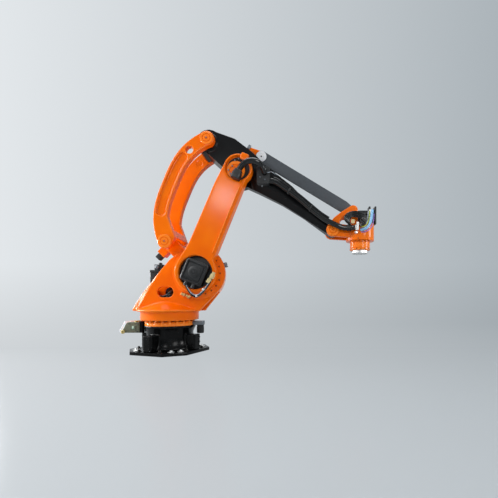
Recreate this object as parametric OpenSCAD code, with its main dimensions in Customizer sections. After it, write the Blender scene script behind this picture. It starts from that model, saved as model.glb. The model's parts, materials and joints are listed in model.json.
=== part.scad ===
// Four-axis palletising robot arm with parallel linkages that keep the wrist level.
// Millimetres. Origin on the floor, on the turning axis of the column.
// +X is the way the arm reaches, +Z is up, and the link arm is on the -Y side.

/* [Linkage] */
// Distance of the link pivot in front of the turning axis
pivot_x = 270; // [260:1:285]
// Height of the link pivot above the floor
pivot_z = 640; // [630:1:690]
// Distance between the two pivots of the link arm
link_length = 876; // [850:1:920]
// Lean of the link arm from the vertical, forwards
link_lean = 22.1; // [18:0.1:26]
// Distance from the elbow to the wrist pivot
arm_length = 879; // [850:1:920]
// Drop of the forearm below the horizontal
arm_drop = 31.2; // [28:0.1:34]
// Distance from the link pivot to the crank pin
crank_length = 355; // [345:1:365]
// Direction of the crank, counted from the forward direction upwards
crank_angle = 135.6; // [132:0.1:139]
// Distance from the elbow to the upper rod's pin, also at the wrist
lever_length = 229; // [224:1:234]
// Direction of the elbow lever, counted from the forward direction upwards
lever_angle = 44.5; // [42:0.1:47]
// Distance from the link pivot to the levelling post, also at the elbow
tie_length = 169; // [165:1:175]
// Direction of the levelling post, counted from the forward direction upwards
tie_angle = 155; // [150:0.1:160]

/* [Base] */
// Half width of the square base plate
plate_half = 277; // [268:1:290]
// Distance of the cut corners from the axis
plate_corner = 302; // [296:1:312]
// Thickness of the base plate
plate_h = 25; // [20:1:35]
// Turn of the base plate about the axis
plate_turn = -18; // [-40:1:40]
// Radius of the base casting at its top and foot
casting_r = 202; // [200:1:212]
// Radius of the base casting's waist
waist_r = 178; // [170:1:188]
// Height of the base casting's top
casting_top = 218; // [205:1:230]
// Radius of the gear ring between base and column
gear_ring_r = 195; // [180:1:200]
// Height of the gear ring
gear_ring_h = 43; // [36:1:50]

/* [Column] */
// Radius of the column's foot ring
ring_r = 228; // [222:1:235]
// Height of the column's foot ring
ring_h = 73; // [64:1:80]
// Distance of the cheeks' outer faces from the middle
cheek_out = 95; // [92:1:100]
// Thickness of a cheek
cheek_t = 25; // [20:1:25]
// Radius of the cheeks round the link pivot
cheek_r = 213; // [208:1:216]

/* [Link arm] */
// Depth of the link arm casting
link_depth = 95; // [85:1:105]
// Radius of the lower eye
link_eye_r = 163; // [158:1:168]
// Radius of the hole that the motor stands in
link_hole_r = 130; // [126:1:134]
// Radius of the upper eye
elbow_eye_r = 110; // [107:1:114]
// Radius of the elbow bearing pin
elbow_pin_r = 60; // [50:1:65]
// Side of the square link motor
link_motor_w = 172; // [160:1:174]

/* [Crank and rear fork] */
// Half width of the crank between the cheeks
crank_half = 62; // [55:1:64]
// Radius of the crank's hub
crank_hub_r = 110; // [100:1:115]
// Width of a fork leg
leg_w = 112; // [100:1:114]
// Thickness of a fork leg
leg_t = 55; // [45:1:58]
// Bow of the fork legs towards the rear
leg_bow = 137; // [110:1:150]
// Radius of the pins at both ends of the fork
fork_pin_r = 20; // [16:1:24]

/* [Forearm] */
// Half width of the forearm at the elbow
arm_half = 95; // [90:1:95]
// Half width of the forearm at the wrist
arm_tip_half = 50; // [48:1:52]
// Radius of the forearm's end round the wrist pin
arm_tip_r = 48; // [46:1:54]
// Half width of the rod slot at the wrist
slot_tip_half = 36; // [35:1:37]
// Radius of the wrist pin
wrist_pin_r = 25; // [20:1:27]

/* [Rods] */
// Height of the upper rod's plate
rod_h = 94; // [80:1:94]
// Thickness of the upper rod
rod_t = 25; // [18:1:25]
// Radius of the levelling rod
tie_r = 18; // [14:1:20]

/* [Wrist] */
// Distance of the flange axis in front of the wrist pin
wrist_reach = 232; // [225:1:238]
// Radius of the wrist housing
wrist_r = 115; // [111:1:118]
// Radius of the wrist gear
wrist_gear_r = 82; // [76:1:90]
// Radius of the tool flange
flange_r = 69; // [60:1:74]
// Distance of the flange face below the wrist pin
flange_drop = 186; // [182:1:196]

/* [Hidden] */
$fn = 64;

orange = "#F07800";
black = "#17181A";
grey = "#4A4D50";
carbon = "#3E4146";
silver = "#C9CBCE";
olive = "#4A4A38";
zinc = "#BEAA64";

// Clearances: running faces, pins in their bores, and pieces that are bolted together
run_gap = 0.5;
pin_gap = 0.05;
seat = 0.05;
// Depth by which a cut passes a face, and by which a strap's sides lie inside its round ends
cut = 1;
side_in = 0.05;

function polar(r, a) = r * [cos(a), sin(a)];

// Pivots in the side plane, as [x, z]
link_polar = 90 - link_lean;
link_pivot = [pivot_x, pivot_z];
elbow = link_pivot + polar(link_length, link_polar);
crank_tip = link_pivot + polar(crank_length, crank_angle);
wrist = elbow + polar(arm_length, -arm_drop);
rod_rear = elbow + polar(lever_length, lever_angle);
rod_front = wrist + polar(lever_length, lever_angle);
tie_low = link_pivot + polar(tie_length, tie_angle);
tie_top = elbow + polar(tie_length, tie_angle);

// Layers across the machine, from the middle outwards
slot_half = cheek_out - cheek_t;
link_flange_t = 10;
link_in = cheek_out + link_flange_t + run_gap;
link_out = link_in + link_depth;
leg_in = cheek_out + 10;
leg_out = leg_in + leg_t;
rod_y0 = -2;
rod_y1 = rod_y0 - rod_t;
lever_y0 = 3;
lever_y1 = 31;
far_lever_y0 = leg_out + 5;
far_lever_y1 = far_lever_y0 + 20;
tie_y0 = far_lever_y1 + run_gap;
tie_y1 = tie_y0 + 22;
fork_in = arm_tip_half + 5;
fork_out = fork_in + 25;
wrist_cap_t = 8;

// Levels of the base and column
ring_z = casting_top + gear_ring_h + run_gap;
ring_top = ring_z + ring_h;
lip_h = 16;
lip_top = ring_top + lip_h;
lip_r = ring_r + 30;
shelf_h = 55;
shelf_r = 100;

// A flat outline in the side plane, given depth from y0 to y1
module side(y0, y1) {
    translate([0, y1, 0]) rotate([90, 0, 0]) linear_extrude(y1 - y0) union() children();
}

// Both sides of the middle plane
module both() {
    children();
    mirror([0, 1, 0]) children();
}

// A frame in the side plane with its own +X along the polar angle
module frame_at(p, angle = 0) {
    translate([p[0], 0, p[1]]) rotate([0, -angle, 0]) children();
}

module disc(p, r) {
    translate(p) circle(r);
}

// Two discs joined by their outer tangents
module strap(p, q, rp, rq) {
    d = q - p;
    span = norm(d);
    heading = atan2(d[1], d[0]);
    spread = acos((rp - rq) / span);
    union() {
        disc(p, rp);
        disc(q, rq);
        polygon([p + polar(rp - side_in, heading - spread), q + polar(rq - side_in, heading - spread),
            q + polar(rq - side_in, heading + spread), p + polar(rp - side_in, heading + spread)]);
    }
}

// A rectangle with round corners, about the origin
module round_rect(w, h, r) {
    square([w - 2 * r, h], center = true);
    square([w, h - 2 * r], center = true);
    for (x = [-1, 1], y = [-1, 1]) disc([x * (w / 2 - r), y * (h / 2 - r)], r);
}

// Base

lug_w = 80;
lug_h = 125;
lug_round = 12;
lug_reach = plate_half - 12;
waist_rim = 14;
quarter_turns = [0, 90, 180, 270];
anchor_r = 11;
anchor_pcd = 510;
anchor_from_corner = 22.5;

module plate_outline() {
    rotate(plate_turn) intersection() {
        square(2 * plate_half, center = true);
        rotate(45) square(2 * plate_corner, center = true);
    }
}

module base_plate() {
    color(black) difference() {
        linear_extrude(plate_h) plate_outline();
        for (a = quarter_turns, s = [-1, 1]) rotate(plate_turn + 45 + a + s * anchor_from_corner)
            translate([anchor_pcd / 2, 0, -cut]) cylinder(r = anchor_r, h = plate_h + 2 * cut);
    }
}

module base_casting() {
    body_h = casting_top - plate_h;
    waist_in = casting_r - waist_r;
    half_chord = body_h / 2 - waist_rim;
    waist_arc = (half_chord * half_chord + waist_in * waist_in) / (2 * waist_in);
    color(black) translate([0, 0, plate_h]) {
        rotate_extrude() difference() {
            square([casting_r, body_h]);
            translate([waist_r + waist_arc, body_h / 2]) circle(waist_arc, $fn = 180);
        }
        for (a = quarter_turns) rotate(plate_turn + a) lug();
    }
}

// A square lug that carries the casting out over the middle of a plate side
module lug() {
    linear_extrude(lug_h) {
        translate([0, -lug_w / 2]) square([lug_reach - lug_round, lug_w]);
        translate([0, lug_round - lug_w / 2]) square([lug_reach, lug_w - 2 * lug_round]);
        for (s = [-1, 1]) disc([lug_reach - lug_round, s * (lug_w / 2 - lug_round)], lug_round);
    }
}

module gear_ring() {
    color(orange) translate([0, 0, casting_top]) cylinder(r = gear_ring_r, h = gear_ring_h);
}

stop_w = 60;
stop_x1 = 280;
stop_block_h = 34;
buffer_r = 29;
buffer_h = 39;

module turn_stop_block() {
    color(grey) difference() {
        translate([0, -stop_w / 2, casting_top]) cube([stop_x1, stop_w, stop_block_h]);
        translate([0, 0, casting_top - cut]) cylinder(r = gear_ring_r + seat, h = stop_block_h + 2 * cut);
    }
}

module turn_stop_buffer() {
    buffer_x = stop_x1 - buffer_r;
    color(black) translate([buffer_x, 0, casting_top - buffer_h]) {
        cylinder(r = buffer_r, h = buffer_h);
        sphere(r = buffer_r);
    }
}

box_x0 = -casting_r - 158;
box_x1 = -casting_r - 10;
box_w = 190;
box_z0 = casting_top - 58;
box_z1 = casting_top + 26;
box_slant = 45;

module connection_box() {
    color(olive) side(-box_w / 2, box_w / 2) polygon([[box_x0, box_z0], [box_x1, box_z0],
        [box_x1, box_z1], [box_x0 + box_slant, box_z1]]);
}

module connection_bracket() {
    bracket_w = 150;
    bracket_t = 42;
    color(grey) difference() {
        translate([box_x1 + seat, -bracket_w / 2, box_z0]) cube([bracket_t, bracket_w, casting_top - box_z0]);
        translate([0, 0, plate_h]) cylinder(r = casting_r + seat, h = casting_top);
    }
}

module box_connectors() {
    connector_r = 14;
    connector_h = 12;
    color(zinc) for (y = [-60, -20, 20, 60])
        translate([box_x0 + box_slant + 60, y, box_z1]) cylinder(r = connector_r, h = connector_h);
}

// Column

hatch_at = [-5, 489];
hatch_w = 130;
hatch_h = 86;

rear_foot = [-270, lip_top + 2];
front_foot = [272, lip_top - 4];
foot_r = 6;

// Round the link pivot, with straight edges down to the two feet
module cheek_outline() {
    strap(link_pivot, rear_foot, cheek_r, foot_r);
    strap(link_pivot, front_foot, cheek_r, foot_r);
    polygon([[rear_foot[0] - foot_r, ring_top], [front_foot[0] + foot_r, ring_top],
        front_foot + [foot_r, 0], link_pivot, rear_foot - [foot_r, 0]]);
}

far_shaft_r = 60;
crank_reach_r = 165;

module column() {
    color(orange) difference() {
        union() {
            translate([0, 0, ring_z]) cylinder(r = ring_r, h = ring_h);
            difference() {
                union() {
                    translate([0, 0, ring_top - cut]) cylinder(r = lip_r, h = lip_h + cut);
                    translate([0, 0, lip_top - cut]) cylinder(r1 = ring_r + 8, r2 = shelf_r, h = shelf_h + cut);
                }
                translate([-lip_r - cut, -slot_half, ring_top])
                    cube([2 * lip_r + 2 * cut, 2 * slot_half, lip_h + shelf_h + cut]);
            }
            both() side(slot_half, cheek_out) cheek_outline();
            side(-slot_half - cut, slot_half + cut) front_wall_outline();
            motor_platform();
        }
        translate([hatch_at[0], 0, hatch_at[1]]) rotate([90, 0, 0]) linear_extrude(3 * cheek_out, center = true)
            round_rect(hatch_w, hatch_h, 0.49 * hatch_h);
        side(slot_half - cut, cheek_out + cut) disc(link_pivot, far_shaft_r + 2);
    }
}

// Wall between the cheeks, in front of the crank's hub
module front_wall_outline() {
    intersection() {
        difference() {
            disc(link_pivot, cheek_r);
            disc(link_pivot, crank_reach_r);
        }
        polygon([link_pivot, link_pivot + polar(2 * cheek_r, -45), link_pivot + polar(2 * cheek_r, 35)]);
    }
}

platform_at = [-215, 272];
platform_w = 150;

module motor_platform() {
    translate([platform_at[0] - platform_w / 2, cheek_out - cut, ring_z])
        cube([platform_w, platform_at[1] + platform_w / 2 - cheek_out, ring_h + lip_h]);
}

module link_flange() {
    color(orange) side(-cheek_out - link_flange_t, -cheek_out) disc(link_pivot, cheek_r - 2);
}

far_gear_r = 100;
far_rim_r = 130;
far_gear_y1 = tie_y1 + 5;

module far_gear() {
    color(orange) {
        side(cheek_out, cheek_out + link_flange_t) disc(link_pivot, far_rim_r);
        side(cheek_out + link_flange_t - seat, far_gear_y1) disc(link_pivot, far_gear_r);
    }
}

far_motor_w = 172;
far_motor_l = 190;

module far_motor() {
    color(black) frame_at(link_pivot) side(far_gear_y1, far_gear_y1 + far_motor_l)
        round_rect(far_motor_w, far_motor_w, 22);
}

turn_motor_w = 130;
turn_motor_h = 395;

module turn_motor() {
    color(black) translate([platform_at[0], platform_at[1], lip_top])
        linear_extrude(turn_motor_h) round_rect(turn_motor_w, turn_motor_w - 4, 18);
}

module link_stop_block() {
    stop_at = 18;
    color(grey) frame_at(link_pivot, stop_at) difference() {
        translate([cheek_r - 10, -cheek_out, -20]) cube([32, 22, 40]);
        side(-cheek_out - cut, cheek_out) circle(cheek_r + seat);
    }
}

post_r = 30;
tie_pin_r = 14;

module levelling_post() {
    color(orange) {
        side(cheek_out, tie_y0 - run_gap) disc(tie_low, post_r);
        side(tie_y0 - run_gap - seat, tie_y1 + 4) disc(tie_low, tie_pin_r);
    }
}

// Link arm. Its own frame runs along the arm, with +Z of that frame to the rear.

link_rear = 134;
link_front = 92;
front_round = 12;
elbow_recess = 30;
recess_r = 96;

module link_profile() {
    disc([0, 0], link_eye_r);
    disc([link_length, 0], elbow_eye_r);
    polygon([[0, -link_front], [link_length, -link_front], [link_length, elbow_eye_r - 1],
        [0.8 * link_length, link_rear - 10], [200, link_rear], [60, link_eye_r - 8], [0, link_eye_r - 3]]);
}

module link_arm() {
    color(orange) frame_at(link_pivot, link_polar) difference() {
        union() {
            side(-link_out, -link_in) link_profile();
            translate([link_length, 0, 0]) side(-link_in - cut, -arm_slot_half - 2) circle(elbow_pin_r);
        }
        side(-link_out - cut, -link_in + cut) circle(link_hole_r);
        side(-link_out - cut, -link_out + elbow_recess) disc([link_length, 0], recess_r);
        front_edge_round();
    }
}

// Rounds the long front edge of the near face
module front_edge_round() {
    translate([1.05 * link_eye_r, -link_out, -link_front]) rotate([90, 0, 90])
        linear_extrude(link_length - 1.05 * link_eye_r - elbow_eye_r) difference() {
            translate([-cut, -cut]) square(front_round + cut);
            translate([front_round, front_round]) circle(front_round);
        }
}

cover_t = 14;

module elbow_cover() {
    color(orange) frame_at(link_pivot, link_polar)
        side(-link_out + elbow_recess - cover_t, -link_out + elbow_recess)
            disc([link_length, 0], recess_r - 12);
}

link_gear_y = link_in + 60;

module link_gear() {
    color(grey) frame_at(link_pivot, link_polar) side(-link_gear_y, -link_in) circle(link_hole_r - seat);
}

motor_proud = 30;

module link_motor() {
    color(black) frame_at(link_pivot, link_polar) side(-link_out - motor_proud, -link_gear_y)
        round_rect(link_motor_w, link_motor_w, 22);
}

module motor_connectors() {
    color(zinc) frame_at(link_pivot, link_polar) for (z = [-30, 30])
        translate([-link_motor_w / 2, -link_out - 12, z]) rotate([0, -90, 0]) cylinder(r = 14, h = 36);
}

gland_at = [link_length - 56, -14];
gland_w = 58;
gland_proud = 2;

module hose_gland() {
    color(black) frame_at(link_pivot, link_polar)
        side(-link_out - gland_proud, -link_out + elbow_recess - cover_t) translate(gland_at)
            round_rect(gland_w, gland_w, 10);
}

// Crank between the cheeks

crank_eye_r = 52;
crank_waist_r = 60;
crank_lug_w = 72;
crank_lug_reach = 122;
crank_buffer_w = 46;

module crank() {
    color(orange) frame_at(link_pivot, crank_angle) {
        side(-crank_half, crank_half) {
            strap([0, 0], [0.5 * crank_length, 0], crank_hub_r, crank_waist_r);
            strap([0.5 * crank_length, 0], [crank_length, 0], crank_waist_r, crank_eye_r);
        }
        side(-crank_lug_w / 2, crank_lug_w / 2) translate([crank_length - crank_lug_w / 2, 0])
            square([crank_lug_w, crank_lug_reach]);
        side(crank_half - cut, cheek_out + link_flange_t - run_gap - 10) circle(far_shaft_r);
        side(-leg_out - 4, leg_out + 4) disc([crank_length, 0], fork_pin_r);
    }
}

module crank_buffer() {
    color(black) frame_at(link_pivot, crank_angle)
        side(-crank_buffer_w / 2, crank_buffer_w / 2)
            translate([crank_length - crank_buffer_w / 2, crank_lug_reach])
            square([crank_buffer_w, crank_buffer_w]);
}

// Rear fork: two bowed legs, parallel to the link arm, joined above the crank pin

leg_end_r = 58;
leg_pocket = 14;
leg_rim = 18;
bow_steps = 32;
function bow_at(u) = leg_bow * (1 - pow(abs(2 * u / link_length - 1), 3));
function bow_slope(u) = let(t = 2 * u / link_length - 1) -6 * leg_bow / link_length * t * abs(t);
function beside_bow(u, d) = [u, bow_at(u)] + d * [-bow_slope(u), 1] / sqrt(1 + pow(bow_slope(u), 2));
pocket_from = 0.24 * link_length;
pocket_to = 0.76 * link_length;
leg_hole_r = 30;
leg_hole_at = 0.845 * link_length;
bar_from = 60;
bar_front = -62;

// A band of width w along the bow between two places on the chord
module bow_band(w, from, to) {
    steps = [for (k = [0:bow_steps]) from + (to - from) * k / bow_steps];
    polygon(concat([for (u = steps) beside_bow(u, -w / 2)],
        [for (k = [bow_steps:-1:0]) beside_bow(steps[k], w / 2)]));
}

module leg_outline() {
    bow_band(leg_w, 0, link_length);
    for (u = [0, link_length]) disc([u, 0], leg_end_r);
    polygon([[0, -leg_end_r + 4], [bar_from, bar_front], [196, 60], [120, 70], [0, 40]]);
}

module pocket_outline() {
    half = leg_w / 2 - leg_rim;
    bow_band(2 * half, pocket_from, pocket_to);
    for (u = [pocket_from, pocket_to]) disc([u, bow_at(u)], half - side_in);
}

module rear_fork() {
    color(orange) frame_at(crank_tip, link_polar) difference() {
        union() {
            both() side(leg_in, leg_out) leg_outline();
            side(-leg_in - cut, leg_in + cut) polygon([[bar_from, bar_front + 3], [bar_from + 22, bar_front + 20],
                [bar_from + 50, bar_front + 42], [bar_from, bar_front + 34]]);
        }
        both() side(leg_out - leg_pocket, leg_out + cut) pocket_outline();
        side(-leg_out - cut, leg_out + cut) disc([leg_hole_at, bow_at(leg_hole_at)], leg_hole_r);
        for (u = [0, link_length]) side(-leg_out - cut, leg_out + cut) disc([u, 0], fork_pin_r + pin_gap);
    }
}

// Forearm: a hollow beam, open on top for the upper rod

arm_bottom = 62;
arm_wall = 16;
arm_rear_r = 101;
arm_boss_r = 104;
arm_slot_half = 60;
arm_slot_rear = 272;
arm_taper_from = 150;
arm_taper_to = 620;
arm_pin = polar(crank_length, crank_angle + arm_drop);
sleeve_r = 70;

module arm_profile() {
    disc(arm_pin, arm_rear_r);
    disc([0, 0], arm_boss_r);
    disc([arm_length, 0], arm_tip_r);
    rear_in = arm_rear_r - 2;
    tip_in = arm_tip_r - 1;
    polygon([[arm_pin[0] + 12, arm_pin[1] - rear_in], [-96, -arm_bottom], [100, -arm_bottom + 6],
        [0.23 * arm_length, -44], [0.47 * arm_length, -28], [0.7 * arm_length, -31],
        [arm_length, -tip_in], [arm_length, tip_in], [0.75 * arm_length, 72], [0.6 * arm_length, 104],
        [0.46 * arm_length, 134], [140, 190], [0, 210], [-180, 219], [arm_pin[0], arm_pin[1] + rear_in]]);
}

module arm_plan(half, tip_half, from) {
    polygon([[-from, -half], [arm_taper_from, -half], [arm_taper_to, -tip_half],
        [arm_length + 2 * arm_tip_r, -tip_half], [arm_length + 2 * arm_tip_r, tip_half],
        [arm_taper_to, tip_half], [arm_taper_from, half], [-from, half]]);
}

// What is open above the floor of the slot
module slot_floor() {
    polygon([[-arm_slot_rear - cut, -6], [-150, -30], [-100, -42], [-40, arm_wall - arm_bottom],
        [80, arm_wall - arm_bottom], [0.47 * arm_length, arm_wall - 28], [2 * arm_length, arm_wall - 28],
        [2 * arm_length, 5 * arm_half], [-arm_slot_rear - cut, 5 * arm_half]]);
}

module arm_beam() {
    color(black) frame_at(elbow, -arm_drop) difference() {
        union() {
            intersection() {
                side(-arm_half, arm_half) arm_profile();
                translate([0, 0, -2 * arm_half]) linear_extrude(6 * arm_half)
                    arm_plan(arm_half, arm_tip_half, crank_length + 2 * arm_rear_r);
            }
            side(-leg_in + run_gap, leg_in - run_gap) disc(arm_pin, sleeve_r);
            side(-leg_out - 4, leg_out + 4) disc(arm_pin, fork_pin_r);
        }
        intersection() {
            translate([0, 0, -arm_bottom]) linear_extrude(6 * arm_half)
                arm_plan(arm_slot_half, slot_tip_half, arm_slot_rear);
            side(-arm_half, arm_half) slot_floor();
        }
        side(-arm_slot_half, arm_slot_half) circle(lever_hub_r + 12);
        side(-arm_half - cut, 0) circle(elbow_pin_r + pin_gap);
        side(0, arm_half + cut) circle(tube_r + pin_gap);
        side(-arm_half, arm_half) disc([arm_length, 0], wrist_pin_r + pin_gap);
    }
}

clamp_at = [190, -37];
clamp_w = 104;
clamp_h = 138;
clamp_t = 50;

module hose_clamp() {
    color(black) difference() {
        frame_at(elbow) side(-arm_half - clamp_t, -arm_tip_half) translate(clamp_at)
            round_rect(clamp_w, clamp_h, 14);
        frame_at(elbow, -arm_drop) translate([0, 0, -2 * arm_half]) linear_extrude(6 * arm_half)
            arm_plan(arm_half + seat, arm_tip_half + seat, 0);
    }
}

// A round tube swept along points, with a ring at each point
module sweep(points, r, sides = 10) {
    last = len(points) - 1;
    rings = [for (i = [0:last]) let(
        t = points[min(i + 1, last)] - points[max(i - 1, 0)],
        f = t / norm(t),
        s = cross(f, [0, 1, 0.01]),
        a = s / norm(s),
        b = cross(f, a)
    ) for (k = [0:sides - 1]) points[i] + r * (cos(360 * k / sides) * a + sin(360 * k / sides) * b)];
    polyhedron(rings, concat(
        [[for (k = [0:sides - 1]) k]],
        [[for (k = [0:sides - 1]) last * sides + sides - 1 - k]],
        [for (i = [0:last - 1], k = [0:sides - 1]) let(n = (k + 1) % sides)
            [i * sides + k, (i + 1) * sides + k, (i + 1) * sides + n, i * sides + n]]));
}

hose_r = 22;
hose_y = -(link_out + gland_proud + hose_r + 2);
clamp_face = -(arm_half + clamp_t);

// Along the forearm, across the machine, and up from the forearm's own axis
module elbow_hose() {
    route = [[34, hose_y, -52], [28, hose_y, -19], [30, hose_y, 24], [43, hose_y, 61], [65, hose_y, 86],
        [93, hose_y + 4, 104], [122, hose_y + 18, 113], [150, hose_y + 40, 112], [172, clamp_face - 30, 100],
        [183, clamp_face - 13, 88], [183, clamp_face - 0.3, 88]];
    color(black) frame_at(elbow, -arm_drop) sweep(route, hose_r);
}

arm_hose_y = -(fork_out + wrist_cap_t + hose_r + 6);

hose_from = clamp_at + [clamp_w / 2 + 0.3, -38];

// A place given forwards and upwards of the elbow, in the forearm's own frame
function in_arm(p, y) = [p[0] * cos(arm_drop) - p[1] * sin(arm_drop), y,
    p[0] * sin(arm_drop) + p[1] * cos(arm_drop)];

module arm_hose() {
    color(black) frame_at(elbow, -arm_drop) sweep([in_arm(hose_from, arm_hose_y),
        in_arm(hose_from + [20, 0], arm_hose_y), in_arm(hose_from + [62, -18], arm_hose_y),
        [420, arm_hose_y, 72], [522, arm_hose_y, 62], [640, arm_hose_y, 44], [730, arm_hose_y, 31],
        [810, arm_hose_y, 28], [arm_length + 10, arm_hose_y, 36]], hose_r);
}

// Elbow lever and rods

tube_r = 45;
lever_hub_r = 50;
lever_eye_r = 55;
lever_bend = [58, 222];
lever_bend_r = 32;
rod_pin_r = 18;

module elbow_lever() {
    color(orange) frame_at(elbow) {
        side(lever_y0, lever_y1) {
            strap([0, 0], lever_bend, lever_hub_r, lever_bend_r);
            strap(lever_bend, polar(lever_length, lever_angle), lever_bend_r, lever_eye_r);
        }
        side(lever_y1 - cut, far_lever_y1) circle(tube_r);
        side(far_lever_y0, far_lever_y1) strap([0, 0], polar(tie_length, tie_angle), lever_hub_r, post_r);
        side(far_lever_y1 - cut, tie_y1 + 4) disc(polar(tie_length, tie_angle), tie_pin_r);
    }
}

module levelling_rod() {
    color(carbon) difference() {
        frame_at(tie_low, link_polar) side(tie_y0, tie_y1) {
            for (u = [0, link_length]) disc([u, 0], post_r);
            translate([0, -tie_r]) square([link_length, 2 * tie_r]);
        }
        for (p = [tie_low, tie_top]) frame_at(p) side(tie_y0 - cut, tie_y1 + cut) circle(tie_pin_r + pin_gap);
    }
}

rod_cap_r = 43;

module upper_rod_pin() {
    color(silver) frame_at(rod_rear) {
        side(rod_y1 - 6, rod_y1 - run_gap) circle(rod_cap_r);
        side(rod_y1 - run_gap - cut, lever_y0 - seat) circle(rod_pin_r);
    }
}

rod_tip_r = 32;
rod_taper_at = 0.9 * arm_length;

module upper_rod() {
    color(carbon) frame_at(rod_rear, -arm_drop) difference() {
        side(rod_y1, rod_y0) {
            strap([0, 0], [rod_taper_at, 0], rod_h / 2, rod_h / 2);
            strap([rod_taper_at, 0], [arm_length, 0], rod_h / 2, rod_tip_r);
        }
        for (u = [0, arm_length]) side(rod_y1 - cut, rod_y0 + cut) disc([u, 0], rod_pin_r + pin_gap);
    }
}

// Wrist

wrist_hub_r = 54;
housing_z1 = 20;
housing_z0 = -84;
housing_wall = 12;
gear_z0 = -161;
adaptor_h = 34;

module wrist_pin() {
    color(silver) frame_at(wrist) {
        side(-fork_out - wrist_cap_t, fork_out + wrist_cap_t) circle(wrist_pin_r);
        both() side(fork_out + run_gap, fork_out + wrist_cap_t) circle(wrist_hub_r - 6);
    }
}

module wrist_fork() {
    tip = rod_front - wrist;
    low_bend = 0.33 * tip + [-26, 27];
    high_bend = 0.65 * tip + [-28, 25];
    band_end = [wrist_reach - 70, -16];
    stay_end = [wrist_reach - 40, -10];
    color(orange) frame_at(wrist) difference() {
        union() {
            both() side(fork_in, fork_out) {
                strap([0, 0], low_bend, wrist_hub_r, 28);
                strap(low_bend, high_bend, 28, 19);
                strap(high_bend, tip, 19, 38);
                strap([0, 0], band_end, wrist_hub_r, 48);
                strap(tip, stay_end, 24, 26);
            }
            side(-fork_out, fork_out) disc(tip, rod_pin_r);
            translate([wrist_reach, 0, housing_z1]) cylinder(r = wrist_r - 20, h = adaptor_h);
        }
        side(-fork_out - cut, fork_out + cut) disc([0, 0], wrist_pin_r + pin_gap);
        translate([wrist_reach, 0, housing_z0 - cut])
            cylinder(r = wrist_r + seat, h = housing_z1 - housing_z0 + cut);
        rotate([90, 0, 0]) cylinder(r = arm_tip_r + 6, h = 2 * fork_in, center = true);
    }
}

// Round, with a wall that stands up round the front of the motor's foot
module wrist_housing() {
    color(orange) frame_at(wrist) translate([wrist_reach, 0, housing_z0]) difference() {
        cylinder(r = wrist_r, h = housing_z1 + adaptor_h - housing_z0);
        translate([0, 0, housing_z1 - housing_z0]) cylinder(r = wrist_r - housing_wall, h = 2 * adaptor_h);
        translate([-2 * wrist_r, -2 * wrist_r, housing_z1 - housing_z0])
            cube([2.3 * wrist_r, 4 * wrist_r, 2 * adaptor_h]);
    }
}

module wrist_gear() {
    color(orange) frame_at(wrist) translate([wrist_reach, 0, gear_z0])
        cylinder(r = wrist_gear_r, h = housing_z0 - gear_z0);
}

wrist_motor_z0 = housing_z1 + adaptor_h;
wrist_motor_z1 = 164;
wrist_motor_w = 100;
wrist_motor_x = wrist_reach + 20;

module wrist_motor() {
    color(black) frame_at(wrist) translate([wrist_motor_x, 0, wrist_motor_z0])
        linear_extrude(wrist_motor_z1 - wrist_motor_z0) round_rect(wrist_motor_w, wrist_motor_w, 14);
}

module cable_holder() {
    holder_x = wrist_motor_x + wrist_motor_w / 2;
    color(black) frame_at(wrist) translate([holder_x, -30, wrist_motor_z0 + 4]) cube([62, 60, 145]);
}

collar_r = 26;
collar_l = 36;
collar_x = wrist_reach - wrist_r + 11;

module hose_collar() {
    color(black) frame_at(wrist) translate([collar_x, -fork_out - collar_r - seat, 8]) rotate([0, 90, 0])
        cylinder(r = collar_r, h = collar_l, center = true);
}

flange_bolt_pcd = 100;
flange_bolt_r = 4;
flange_bolt_depth = 15;
flange_pilot_r = 31.5;
flange_pilot_depth = 8;

module tool_flange() {
    color(silver) frame_at(wrist) translate([wrist_reach, 0, -flange_drop]) difference() {
        cylinder(r = flange_r, h = flange_drop + gear_z0 - run_gap);
        for (a = [0:60:300]) rotate(a) translate([flange_bolt_pcd / 2, 0, -cut])
            cylinder(r = flange_bolt_r, h = flange_bolt_depth + cut);
        translate([0, 0, -cut]) cylinder(r = flange_pilot_r, h = flange_pilot_depth + cut);
    }
}

base_plate();
base_casting();
gear_ring();
turn_stop_block();
turn_stop_buffer();
connection_box();
connection_bracket();
box_connectors();
column();
link_flange();
far_gear();
far_motor();
turn_motor();
link_stop_block();
levelling_post();
link_arm();
elbow_cover();
link_gear();
link_motor();
motor_connectors();
hose_gland();
crank();
crank_buffer();
rear_fork();
arm_beam();
hose_clamp();
elbow_hose();
arm_hose();
elbow_lever();
levelling_rod();
upper_rod_pin();
upper_rod();
wrist_pin();
wrist_fork();
wrist_housing();
wrist_gear();
wrist_motor();
cable_holder();
hose_collar();
tool_flange();
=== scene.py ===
import bpy
import bmesh
import json
from math import atan2, pi, radians
from mathutils import Matrix, Vector


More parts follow.
